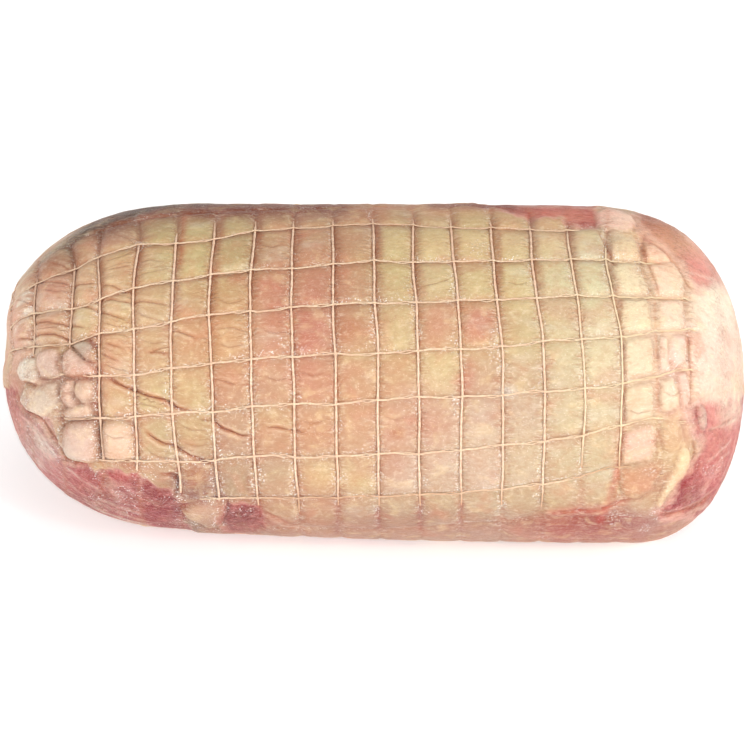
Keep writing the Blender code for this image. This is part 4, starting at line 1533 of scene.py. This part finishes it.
# =============================================================================
# the net
# =============================================================================
def net_place(p, q):
    """Base point, outward normal and the two directions along the surface."""
    s, a = on_net(p, q)
    base = body_point(s, a)
    normal = body_normal(np.clip(s, 0.5, TOTAL - 0.5), a)
    s2, a2 = on_net(p, q + 0.02)
    dq = body_point(s2, a2) - base
    dq /= np.linalg.norm(dq, axis=-1, keepdims=True)
    s3, a3 = on_net(p + 0.02, q)
    dp = body_point(s3, a3) - base
    dp /= np.linalg.norm(dp, axis=-1, keepdims=True)
    flat = above(base)
    px, py = project(flat)
    view = CAM - flat
    view /= np.linalg.norm(view, axis=-1, keepdims=True)
    facing = (view * normal).sum(-1)
    w = smooth(facing, -0.16, -0.03)
    lumps = lump_field(px, py, w)
    closed = closed_over(base, px, py, net_weight(facing, px, py))
    return base, normal, dp, dq, lumps, closed, taut(facing), px, py, facing


def tube(centre, normal, radius_out, radius_side, sides, twist, closed, low):
    """Rings of points round a path that is pressed to no lower than `low`."""
    path = centre.copy()
    path[:, 2] = low + press_flat(path[:, 2] - low)
    if closed:
        along = np.roll(path, -1, 0) - np.roll(path, 1, 0)
    else:
        along = np.gradient(path, axis=0)
    along /= np.linalg.norm(along, axis=1, keepdims=True)
    out = normal - (normal * along).sum(1)[:, None] * along
    out /= np.linalg.norm(out, axis=1, keepdims=True)
    side = np.cross(along, out)
    th = np.arange(sides) * 2 * math.pi / sides
    ply = 1.0 + 0.16 * np.cos(2.0 * (th[None, :] - twist[:, None]))
    a = np.cos(th)[None, :] * ply * radius_out[:, None]
    b = np.sin(th)[None, :] * ply * radius_side[:, None]
    return (path[:, None, :] + a[..., None] * out[:, None, :]
            + b[..., None] * side[:, None, :])


def tube_faces(count, sides, closed, first):
    i = np.arange(count if closed else count - 1)[:, None]
    j = np.arange(sides)[None, :]
    i2, j2 = (i + 1) % count, (j + 1) % sides
    f = np.stack(np.broadcast_arrays(
        i * sides + j, i * sides + j2, i2 * sides + j2, i2 * sides + j), -1)
    return first + f.reshape(-1, 4)


def faintness(px, py, shown):
    """How dimly a cord shows through the skin that begins to close over it."""
    low = smooth(py, 480.0, 502.0) * smooth(px, 235.0, 280.0)
    right = smooth(px, 560.0, 582.0) * smooth(py, 436.0, 470.0)
    high = 0.50 * smooth(236.0 - py, 0.0, 14.0)
    return shown * np.clip(np.maximum(np.maximum(low, right), high), 0.0, 1.0)


def make_rings():
    points, faces, faint, first = [], [], [], 0
    for k in range(FIRST_RING, LAST_RING + 1):
        probe = net_place(np.full(400, float(k)), np.arange(400) * STRANDS / 400.0)[0]
        around = np.linalg.norm(np.roll(probe, -1, 0) - probe, axis=1)
        count = int(around.sum() / 0.92)
        q = np.arange(count) * STRANDS / count
        wob = (0.007 * np.sin(2 * math.pi * q / STRANDS * 9 + 1.7 * k)
               + 0.006 * np.sin(2 * math.pi * q / STRANDS * 17 + 2.9 * k))
        p = k + wob
        base, normal, dp, dq, lumps, closed, keep, px, py, facing = net_place(p, q)
        shown = net_weight(facing, px, py)
        if k == 18:
            closed = np.maximum(closed, shown)
        slim = shown * smooth(px, 540.0, 625.0)
        dim = faintness(px, py, shown)
        closed = np.maximum(closed, shown * smooth(px, 562.0, 580.0) * smooth(py, 462.0, 484.0))
        for k0, k1, outline in DEEP_RINGS:
            if k0 <= k <= k1:
                closed = np.maximum(closed, shown * inside(px, py, outline, 3.0))
        sunk = np.maximum(inside(px, py, SUNK, 10.0), inside(px, py, SUNK_LOW, 13.0))
        sunk = sunk * shown
        height = (ring_height(p, q) * keep + lumps - 2.4 * closed - 1.5 * sunk
                  - 0.16 * slim - 0.20 * dim)
        dist = np.arange(count) * 0.92
        turns = round(dist[-1] / 5.6)
        twist = math.pi * turns * np.arange(count) / count
        loose = 1.0 + 0.05 * np.sin(2 * math.pi * q / STRANDS * 23 + k)
        loose = loose * (1.0 - 0.55 * sunk) * (1.0 - 0.20 * slim) * (1.0 - 0.30 * dim)
        r_out = RING_R * 0.78 * loose
        r_side = RING_R * 1.05 * loose
        pts = tube(base + height[:, None] * normal, normal, r_out, r_side, 8,
                   twist, True, 0.06 + 1.16 * RING_R * 0.78)
        points.append(pts.reshape(-1, 3))
        faint.append(np.repeat(dim, 8))
        faces.append(tube_faces(count, 8, True, first))
        first += count * 8
    return np.vstack(points), np.vstack(faces), np.concatenate(faint)


def make_lines():
    points, faces, caps, faint, first = [], [], [], [], 0
    p0, p1 = FIRST_RING - 0.45, LAST_RING + 0.55
    count = int((p1 - p0) * RING_PITCH / 1.25)
    for j in range(STRANDS):
        for half in (-1.0, 1.0):
            p = np.linspace(p0, p1, count)
            sway = (0.018 * np.sin(2.1 * p + 1.3 * j) + 0.012 * np.sin(4.7 * p + 2.9 * j))
            q = j + sway
            base, normal, dp, dq, lumps, closed, keep, px, py, facing = net_place(p, q)
            gone = np.maximum(inside(px, py, SUNK_LINES[0], 3.0),
                              inside(px, py, SUNK_LINES[1], 3.0))
            shown = net_weight(facing, px, py)
            closed = np.maximum(closed, gone * shown)
            slim = shown * smooth(px, 585.0, 650.0)
            dim = faintness(px, py, shown)
            freed = shown * inside(px, py, OPEN_LINE, 2.0)
            closed = closed * (1.0 - freed)
            d = (p - np.round(p)) * RING_PITCH
            over_ring = np.exp(-(d / 1.35) ** 2)
            low = strand_height(p, q) * keep - 2.4 * closed
            high = (ring_height(p, q) * keep - 2.4 * closed
                    + RING_R * 0.82 + THREAD_R * 0.75)
            height = np.maximum(low, low + (high - low) * over_ring)
            ends = smooth(p, p0, p0 + 0.5) * smooth(p1 - p, 0.0, 0.5)
            height = height - 1.9 * (1.0 - ends) - 0.20 * slim - 0.12 * dim + 1.2 * freed
            # the pair opens into a small loop before each ring
            loop = np.exp(-((d + 4.4) / 1.5) ** 2)
            spread = THREAD_R * 0.80 + 0.42 * loop * (0.75 + 0.25 * np.sin(3.1 * np.round(p) + j))
            twist_pair = 0.10 * np.sin(2.0 * p * RING_PITCH / 2.2)
            centre = (base + (height + lumps)[:, None] * normal
                      + (half * spread + twist_pair)[:, None] * dq)
            r = THREAD_R * (1.0 + 0.06 * np.sin(3.3 * p * RING_PITCH / 3.0 + j))
            r = r * (1.0 - 0.20 * slim) * (1.0 - 0.28 * dim)
            pts = tube(centre, normal, r, r * 1.05, 6, 0.9 * p * RING_PITCH,
                       False, 0.08 + 1.2 * THREAD_R)
            points.append(pts.reshape(-1, 3))
            faint.append(np.repeat(dim, 6))
            faces.append(tube_faces(count, 6, False, first))
            caps.append([list(range(first + 5, first - 1, -1)),
                         list(range(first + (count - 1) * 6, first + count * 6))])
            first += count * 6
    return (np.vstack(points), np.vstack(faces),
            np.array([c for pair in caps for c in pair]), np.concatenate(faint))


# =============================================================================
# materials
# =============================================================================
class Nodes:
    """A short way to write a node material."""

    def __init__(self, name):
        self.mat = bpy.data.materials.new(name)
        self.mat.use_nodes = True
        self.tree = self.mat.node_tree
        self.tree.nodes.clear()
        self.out = self.tree.nodes.new("ShaderNodeOutputMaterial")
        self.place = self.tree.nodes.new("ShaderNodeTexCoord").outputs["Object"]

    def link(self, value, socket):
        if isinstance(value, bpy.types.NodeSocket):
            self.tree.links.new(value, socket)
        elif isinstance(value, (tuple, list, np.ndarray)) and len(value) == 3 \
                and socket.type == "RGBA":
            socket.default_value = (*[float(c) for c in value], 1.0)
        else:
            socket.default_value = value

    def math(self, kind, a, b=0.0, clamp=False):
        n = self.tree.nodes.new("ShaderNodeMath")
        n.operation = kind
        n.use_clamp = clamp
        self.link(a, n.inputs[0])
        self.link(b, n.inputs[1])
        return n.outputs[0]

    def stretch(self, scale, vector=None):
        n = self.tree.nodes.new("ShaderNodeVectorMath")
        n.operation = "MULTIPLY"
        self.link(vector or self.place, n.inputs[0])
        n.inputs[1].default_value = scale
        return n.outputs[0]

    def split(self, name):
        n = self.tree.nodes.new("ShaderNodeSeparateColor")
        self.link(self.colour(name), n.inputs[0])
        return [self.math("SUBTRACT", self.math("MULTIPLY", n.outputs[i], 2.0), 1.0)
                for i in range(3)]

    def cord_distance(self, name, pitch):
        """Signed distance in mm to the nearest cord, and the net's presence."""
        c, s, net = self.split(name)
        turn = self.math("ARCTAN2", s, c)
        return self.math("MULTIPLY", turn, pitch / (2.0 * math.pi)), net

    def noise(self, size_mm, detail=3.0, rough=0.55, scale=(1, 1, 1), warp=0.0):
        n = self.tree.nodes.new("ShaderNodeTexNoise")
        n.inputs["Scale"].default_value = 1000.0 / size_mm
        n.inputs["Detail"].default_value = detail
        n.inputs["Roughness"].default_value = rough
        n.inputs["Distortion"].default_value = warp
        self.link(self.stretch(scale), n.inputs["Vector"])
        return n.outputs["Fac"]

    def cells(self, size_mm, scale=(1, 1, 1), feature="F1"):
        n = self.tree.nodes.new("ShaderNodeTexVoronoi")
        n.feature = feature
        n.inputs["Scale"].default_value = 1000.0 / size_mm
        self.link(self.stretch(scale), n.inputs["Vector"])
        return n.outputs["Distance"]

    def remap(self, value, lo, hi, out_lo=0.0, out_hi=1.0):
        n = self.tree.nodes.new("ShaderNodeMapRange")
        n.interpolation_type = "SMOOTHSTEP"
        self.link(value, n.inputs["Value"])
        n.inputs["From Min"].default_value = lo
        n.inputs["From Max"].default_value = hi
        n.inputs["To Min"].default_value = out_lo
        n.inputs["To Max"].default_value = out_hi
        return n.outputs["Result"]

    def value(self, name):
        n = self.tree.nodes.new("ShaderNodeAttribute")
        n.attribute_name = name
        return n.outputs["Fac"]

    def colour(self, name):
        n = self.tree.nodes.new("ShaderNodeAttribute")
        n.attribute_name = name
        return n.outputs["Color"]

    def mix(self, amount, a, b, kind="MIX"):
        n = self.tree.nodes.new("ShaderNodeMix")
        n.data_type = "RGBA"
        n.blend_type = kind
        self.link(amount, n.inputs["Factor"])
        self.link(a, n.inputs["A"] if False else n.inputs[6])
        self.link(b, n.inputs[7])
        return n.outputs[2]

    def bump(self, height, distance_mm, strength=1.0, normal=None):
        n = self.tree.nodes.new("ShaderNodeBump")
        n.inputs["Distance"].default_value = distance_mm * MM
        n.inputs["Strength"].default_value = strength
        self.link(height, n.inputs["Height"])
        if normal is not None:
            self.link(normal, n.inputs["Normal"])
        return n.outputs["Normal"]

    def surface(self, **inputs):
        n = self.tree.nodes.new("ShaderNodeBsdfPrincipled")
        for key, value in inputs.items():
            self.link(value, n.inputs[key.replace("_", " ")])
        return n.outputs["BSDF"]

    def blend(self, amount, a, b):
        n = self.tree.nodes.new("ShaderNodeMixShader")
        self.link(amount, n.inputs[0])
        self.tree.links.new(a, n.inputs[1])
        self.tree.links.new(b, n.inputs[2])
        return n.outputs[0]

    def done(self, shader):
        self.tree.links.new(shader, self.out.inputs["Surface"])
        return self.mat


def flesh_material():
    m = Nodes("skin_and_meat")
    base = m.colour("tissue")
    meat = m.value("meat")
    skin = m.math("SUBTRACT", 1.0, meat, True)
    ring, net = m.cord_distance("ring_phase", RING_PITCH)
    line, _ = m.cord_distance("line_phase", 20.5)
    ring_off, line_off = m.math("ABSOLUTE", ring), m.math("ABSOLUTE", line)
    fleck = m.noise(1.5, 4.0, 0.66, (0.8, 1, 1), 0.5)
    streak = m.noise(0.95, 3.0, 0.62, (0.28, 1, 1), 1.0)
    blotch = m.noise(6.5, 4.0, 0.60, (0.8, 1, 1), 0.5)
    patch = m.noise(13.0, 3.0, 0.55, (1, 1, 1), 0.4)
    # fat and skin vary in blotches, flecks and streaks
    flesh = base
    c = m.mix(m.remap(blotch, 0.50, 0.70, 0.0, 0.28), base, unit_rgb(240, 216, 168))
    c = m.mix(m.remap(blotch, 0.50, 0.33, 0.0, 0.24), c, unit_rgb(186, 132, 92))
    c = m.mix(m.remap(patch, 0.52, 0.70, 0.0, 0.18), c, unit_rgb(216, 128, 104))
    c = m.mix(m.remap(fleck, 0.50, 0.72, 0.0, 0.24), c, unit_rgb(250, 234, 208))
    c = m.mix(m.remap(fleck, 0.50, 0.30, 0.0, 0.24), c, unit_rgb(176, 120, 88))
    near_ring = m.remap(ring_off, 5.5, 1.5, 0.16, 1.0)
    c = m.mix(m.math("MULTIPLY", m.remap(streak, 0.52, 0.68, 0.0, 0.34), near_ring), c,
              unit_rgb(252, 236, 214))
    c = m.mix(m.math("MULTIPLY", m.remap(streak, 0.48, 0.32, 0.0, 0.46), near_ring), c,
              unit_rgb(170, 104, 82))
    c = m.mix(m.math("MULTIPLY", meat, 0.55), c, flesh)
    # pores of the skin
    dot = m.math("MULTIPLY", m.remap(m.cells(1.8), 0.20, 0.02), skin)
    c = m.mix(m.math("MULTIPLY", dot, 0.30), c, unit_rgb(184, 116, 76))
    # painted shade: each cell is darker right of a ring and under a line, with a painted dark
    # edge along the cords
    right = m.math("MULTIPLY", m.remap(ring, 6.0, 0.8), m.remap(ring, -0.2, 0.5))
    under = m.math("MULTIPLY", m.remap(line, 5.0, 0.6), m.remap(line, -0.2, 0.4))
    cell_shade = m.math("MULTIPLY", m.math("MAXIMUM", right, m.math("MULTIPLY", under, 0.7)),
                  m.remap(blotch, 0.30, 0.62, 0.25, 1.0))
    # how strong the painted shade of the cells is at each point
    pressed = m.value("pressed")
    cell_shade = m.math("MULTIPLY", cell_shade, pressed)
    c = m.mix(m.math("MULTIPLY", m.math("MULTIPLY", cell_shade, net), 0.85, True), c,
              unit_rgb(156, 96, 66))
    edge = m.math("MAXIMUM", m.remap(ring_off, 1.35, 0.55), m.remap(line_off, 1.00, 0.40))
    edge = m.math("MULTIPLY", edge, m.math("ADD", m.math("MULTIPLY", pressed, 0.75), 0.09))
    crumb = m.remap(m.noise(0.9, 2.0, 0.6), 0.42, 0.58, 0.15, 1.80)
    edge = m.math("MULTIPLY", edge, crumb)
    c = m.mix(m.math("MULTIPLY", m.math("MULTIPLY", edge, net), 0.36, True), c,
              unit_rgb(142, 78, 54))
    # folds: painted shade in a thin dark bottom, between lips with a painted highlight
    n3 = m.tree.nodes.new("ShaderNodeSeparateColor")
    m.link(m.colour("folds"), n3.inputs[0])
    away = m.math("ABSOLUTE", m.math("MULTIPLY", m.math("SUBTRACT", n3.outputs[0], 0.5), 24.0))
    marked = n3.outputs[1]
    uneven = m.remap(fleck, 0.30, 0.62, 0.55, 1.0)
    deep = m.math("MULTIPLY", m.math("MULTIPLY", m.remap(away, 1.25, 0.1), marked), uneven)
    lip_highlight = m.math("MULTIPLY", m.math("MULTIPLY", m.remap(away, 6.0, 3.4),
                                     m.remap(away, 1.6, 3.0)), marked)
    c = m.mix(m.math("MULTIPLY", deep, 0.85, True), c, unit_rgb(132, 62, 36))
    c = m.mix(m.math("MULTIPLY", lip_highlight, 0.25, True), c, unit_rgb(250, 232, 204))
    # painted highlights: white glints of drops and tiny bubbles on the wet skin
    glint_strength = m.value("glint_strength")
    painted_glint = m.remap(m.cells(0.95), 0.34, 0.16)
    flock = m.remap(m.noise(2.4, 2.0, 0.6), 0.42, 0.53)
    painted_glint = m.math("MULTIPLY", m.math("MULTIPLY", painted_glint, flock), m.remap(glint_strength, 0.22, 0.66))
    c = m.mix(m.math("MULTIPLY", painted_glint, 1.0, True), c, unit_rgb(255, 255, 253))
    # painted highlights: a broken row of bright glints along the cords
    row = m.math("MAXIMUM", m.remap(ring_off, 2.7, 1.5), m.remap(line_off, 2.2, 1.2))
    bead_glint = m.math("MULTIPLY", m.remap(m.cells(0.70), 0.34, 0.18), row)
    bead_glint = m.math("MULTIPLY", bead_glint, m.remap(m.noise(3.4, 2.0, 0.6), 0.44, 0.55))
    bead_glint = m.math("MULTIPLY", bead_glint, m.remap(glint_strength, 0.06, 0.30, 0.25, 1.0))
    c = m.mix(m.math("MULTIPLY", m.math("MULTIPLY", bead_glint, net), 0.85, True), c,
              unit_rgb(255, 250, 238))
    # fibres of the bare meat
    fibre = m.noise(1.25, 4.0, 0.70, (0.50, 1, 1), 0.9)
    c = m.mix(m.math("MULTIPLY", m.remap(fibre, 0.50, 0.66), m.math("MULTIPLY", meat, 0.50)),
              c, unit_rgb(228, 156, 150))
    c = m.mix(m.math("MULTIPLY", m.remap(fibre, 0.50, 0.32), m.math("MULTIPLY", meat, 0.50)),
              c, unit_rgb(128, 40, 44))
    # relief too fine for the mesh
    wrinkle = m.noise(1.5, 2.0, 0.55, (0.28, 1.0, 1.0), 0.8)
    pebble = m.noise(1.3, 3.0, 0.62, (1, 1, 1), 0.3)
    by_ring = m.remap(ring_off, 6.0, 1.0, 0.16, 1.0)
    n = m.bump(pebble, 0.55, 0.75)
    n = m.bump(m.math("MULTIPLY", wrinkle, by_ring), 1.25, 0.9, n)
    n = m.bump(m.math("MULTIPLY", fibre, meat), 0.55, 0.7, n)
    n = m.bump(m.math("MULTIPLY", deep, -1.0), 0.6, 0.8, n)
    rough = m.remap(blotch, 0.3, 0.7, 0.34, 0.52)
    shader = m.surface(
        Base_Color=c, Roughness=rough, Normal=n,
        Subsurface_Weight=0.10, Subsurface_Radius=(0.0014, 0.0007, 0.0005),
        Subsurface_Scale=1.0, Specular_IOR_Level=0.08)
    return m.done(shader)


def cord_material(name, light, shade, size):
    m = Nodes(name)
    fibre = m.noise(size, 3.0, 0.65, (1, 1, 1), 0.8)
    patch = m.noise(11.0, 2.0, 0.5)
    c = m.mix(m.remap(fibre, 0.36, 0.56), shade, light)
    c = m.mix(m.remap(patch, 0.40, 0.66, 0.0, 0.50), c, unit_rgb(236, 192, 162))
    parts = m.tree.nodes.new("ShaderNodeSeparateXYZ")
    m.link(m.place, parts.inputs[0])
    c = m.mix(m.remap(parts.outputs[0], 0.055, 0.105, 0.0, 0.65), c, unit_rgb(244, 224, 182))
    c = m.mix(m.math("MULTIPLY", m.value("faint"), 0.72), c, unit_rgb(216, 168, 130))
    n = m.bump(fibre, 0.34, 0.9)
    shader = m.surface(Base_Color=c, Roughness=m.remap(fibre, 0.3, 0.7, 0.62, 0.44),
                       Normal=n, Subsurface_Weight=0.12,
                       Subsurface_Radius=(0.0012, 0.0010, 0.0008),
                       Subsurface_Scale=1.0, Specular_IOR_Level=0.35)
    return m.done(shader)


def film_material():
    m = Nodes("film")
    haze = m.value("haze")
    glint_strength = m.value("glint_strength")
    crumple = m.noise(1.15, 3.0, 0.62, (0.8, 1, 1), 1.4)
    ripple = m.noise(5.0, 2.0, 0.5, (0.5, 1, 1), 0.8)
    strong = m.math("ADD", m.math("MULTIPLY", glint_strength, 1.8), 0.50)
    n = m.bump(ripple, 0.35, 0.6)
    n = m.bump(m.math("MULTIPLY", crumple, strong), 0.55, 0.9, n)
    through = m.tree.nodes.new("ShaderNodeBsdfTransparent")
    through.inputs["Color"].default_value = (0.985, 0.98, 0.97, 1.0)
    gloss = m.tree.nodes.new("ShaderNodeBsdfGlossy")
    gloss.inputs["Roughness"].default_value = 0.11
    m.link(n, gloss.inputs["Normal"])
    fresnel = m.tree.nodes.new("ShaderNodeFresnel")
    fresnel.inputs["IOR"].default_value = 1.40
    m.link(n, fresnel.inputs["Normal"])
    shine = m.math("MULTIPLY", fresnel.outputs[0],
                   m.math("ADD", m.math("MULTIPLY", glint_strength, 0.9), 0.55))
    shine = m.math("MINIMUM", shine, m.remap(m.value("rim"), 0.0, 1.0, 0.07, 0.035))
    clear = m.blend(shine, through.outputs[0], gloss.outputs[0])
    milky = m.surface(Base_Color=unit_rgb(250, 244, 234), Roughness=0.30, Normal=n)
    cloud = m.noise(6.0, 4.0, 0.62, (0.4, 1, 1), 0.8)
    # painted highlights: white specks where tiny bubbles and creases of the film would catch the
    # light
    speck = m.remap(m.noise(0.75, 3.0, 0.62, (0.8, 1, 1), 1.0), 0.60, 0.66)
    painted_specks = m.math("MULTIPLY", speck, m.math("MULTIPLY", glint_strength, 0.35), True)
    amount = m.math("ADD", m.math("MULTIPLY", haze, m.remap(cloud, 0.30, 0.75, 0.35, 1.0)),
                    painted_specks, True)
    body = m.blend(amount, clear, milky)
    # painted shade: the gathered film along the rims is darkened in fibrous streaks
    thread = m.remap(m.noise(1.2, 3.0, 0.6, (0.12, 1, 1), 1.3), 0.44, 0.57, 0.0, 1.0)
    dark = m.surface(Base_Color=unit_rgb(112, 88, 70), Roughness=0.35, Normal=n)
    return m.done(m.blend(m.math("MULTIPLY", m.value("rim_shade"), thread, True), body, dark))


def plain_material(name, colour):
    m = Nodes(name)
    grain = m.noise(60.0, 2.0, 0.5)
    c = m.mix(m.remap(grain, 0.3, 0.7, 0.0, 0.05), colour, (0.76, 0.76, 0.76))
    return m.done(m.surface(Base_Color=c, Roughness=0.75, Emission_Color=(1.0, 1.0, 1.0),
                            Emission_Strength=0.42))


# =============================================================================
# pieces
# =============================================================================
def make_roast():
    shell = Shell(17, 10, 18, 6)
    relief, meat, near = roast_relief(shell)
    obj, _ = shell.build("roast", relief, low=0.45)
    add_colour(obj, "tissue", tissue_colour(shell, meat, near))
    add_values(obj, "meat", meat)
    closed = closed_over(shell.base, shell.px, shell.py,
                         net_weight(shell.facing, shell.px, shell.py))
    w = seen_weight(shell)
    net = ((1.0 - closed) * smooth(shell.p, 0.5, 1.0)
           * smooth(20.6 - shell.p, 0.0, 0.5)
           * (1.0 - 0.75 * w * smooth(shell.px, 636.0, 652.0))
           * (1.0 - 0.60 * w * smooth(224.0 - shell.py, 0.0, 12.0)))
    add_phase(obj, shell.p, shell.q, net)
    add_values(obj, "glint_strength", glint_field(shell))
    # how strong the painted shade beside the cords is: most along the upper rows, less to the
    # right, at the very top rim and from cell to cell
    pressed = (0.30 + 0.70 * smooth(345.0 - shell.py, 0.0, 80.0)
               - 0.16 * smooth(shell.px, 380.0, 470.0)
               - 0.14 * smooth(shell.px, 520.0, 600.0))
    pressed = pressed * (0.4 + 0.6 * smooth(shell.py, 208.0, 228.0))
    pressed = pressed * (0.75 + 0.45 * cell_noise(np.floor(shell.p), np.floor(shell.q), 55))
    add_values(obj, "pressed", np.clip(w * pressed + (1.0 - w) * 0.6, 0.0, 1.0))
    dist, mark = fold_lines(shell)
    add_colour(obj, "folds", np.stack(
        [np.clip(dist / 24.0 + 0.5, 0, 1), mark, 0 * mark], 1))
    obj.data.materials.append(flesh_material())
    return obj


def make_net():
    light, shade = unit_rgb(247, 222, 190), unit_rgb(216, 174, 142)
    pts, faces, faint = make_rings()
    rings = make_object("net_rings", pts, [faces])
    add_values(rings, "faint", faint)
    rings.data.materials.append(cord_material(
        "net_cord", light * (0.98, 0.93, 0.97), shade * (0.99, 0.96, 1.00), 0.9))
    pts, faces, caps, faint = make_lines()
    lines = make_object("net_lines", pts, [faces, caps])
    add_values(lines, "faint", faint)
    lines.data.materials.append(cord_material("net_thread", light, shade, 0.6))
    return rings, lines


def make_film():
    shell = Shell(10, 8, 11, 8)
    height, meat = film_height(shell)
    obj, _ = shell.build("film", height, low=0.0)
    haze = 0.05 * smooth(fractal(shell.base, 21.0, 81, 3), 0.1, 0.6)
    add_values(obj, "haze", np.clip(haze, 0.0, 1.0))
    add_values(obj, "glint_strength", glint_field(shell))
    add_values(obj, "rim", seen_weight(shell) * smooth(0.55 - shell.facing, 0.0, 0.4))
    # painted shade along the rims of the film
    px = shell.px + 1.6 * noise(shell.base, 9.0, 96)
    py = shell.py + 1.6 * noise(shell.base, 9.0, 97)
    rim_shade = np.zeros(px.shape)
    for strength, half, line in RIM_SHADE_RUNS:
        r, _ = line_distance(px, py, line)
        rim_shade = np.maximum(rim_shade, strength * np.exp(-(r / half) ** 2))
    add_values(obj, "rim_shade", seen_weight(shell) * rim_shade
               * smooth(shell.facing, 0.0, 0.14))
    obj.data.materials.append(film_material())
    return obj


roast = make_roast()
net_rings, net_lines = make_net()
film = make_film()

for piece, slot in ((roast, "skin_and_meat"), (net_rings, "net"),
                    (net_lines, "net"), (film, "film")):
    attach(piece, "root")
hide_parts("roast_pack")

# =============================================================================
# floor, light and camera
# =============================================================================
scene = bpy.context.scene


def make_floor():
    size, z = 6.0, -0.0003
    mesh = bpy.data.meshes.new("floor")
    mesh.from_pydata([(-size, -size, z), (size, -size, z), (size, size, z),
                      (-size, size, z)], [], [(0, 1, 2, 3)])
    floor = bpy.data.objects.new("floor", mesh)
    scene.collection.objects.link(floor)
    mesh.materials.append(plain_material("floor", (0.80, 0.80, 0.80)))


def aim(obj, place, target):
    obj.location = place
    look = Vector(target) - Vector(place)
    obj.rotation_euler = look.to_track_quat("-Z", "Y").to_euler()


def soft_light(name, place, target, width, height, power, colour=(1, 1, 1)):
    lamp = bpy.data.lights.new(name, "AREA")
    lamp.shape = "RECTANGLE"
    lamp.size, lamp.size_y = width, height
    lamp.energy = power
    lamp.color = colour
    obj = bpy.data.objects.new(name, lamp)
    scene.collection.objects.link(obj)
    aim(obj, place, target)


make_floor()
middle = (0.0, 0.0, 0.06)
soft_light("key", (1.45, -1.35, 1.00), middle, 1.2, 1.2, 28.0)
soft_light("spark", (0.95, -1.50, 1.45), middle, 0.12, 0.12, 5.5)
soft_light("fill", (-1.45, -1.35, 0.90), middle, 1.2, 1.2, 18.5)
soft_light("top", (0.40, -0.20, 1.90), middle, 1.2, 1.2, 8.5)

world = bpy.data.worlds.new("studio")
world.use_nodes = True
world.node_tree.nodes["Background"].inputs["Color"].default_value = (1, 1, 1, 1)
world.node_tree.nodes["Background"].inputs["Strength"].default_value = 0.53
scene.world = world
scene.view_settings.view_transform = "Standard"

cam_data = bpy.data.cameras.new("camera")
cam_data.sensor_width = 36.0
cam_data.lens = FOCAL / PHOTO * 36.0
cam_data.clip_start, cam_data.clip_end = 0.05, 50.0
camera = bpy.data.objects.new("camera", cam_data)
scene.collection.objects.link(camera)
aim(camera, Vector(CAM) * MM, (0.0, 0.0, AIM_Z * MM))
scene.camera = camera
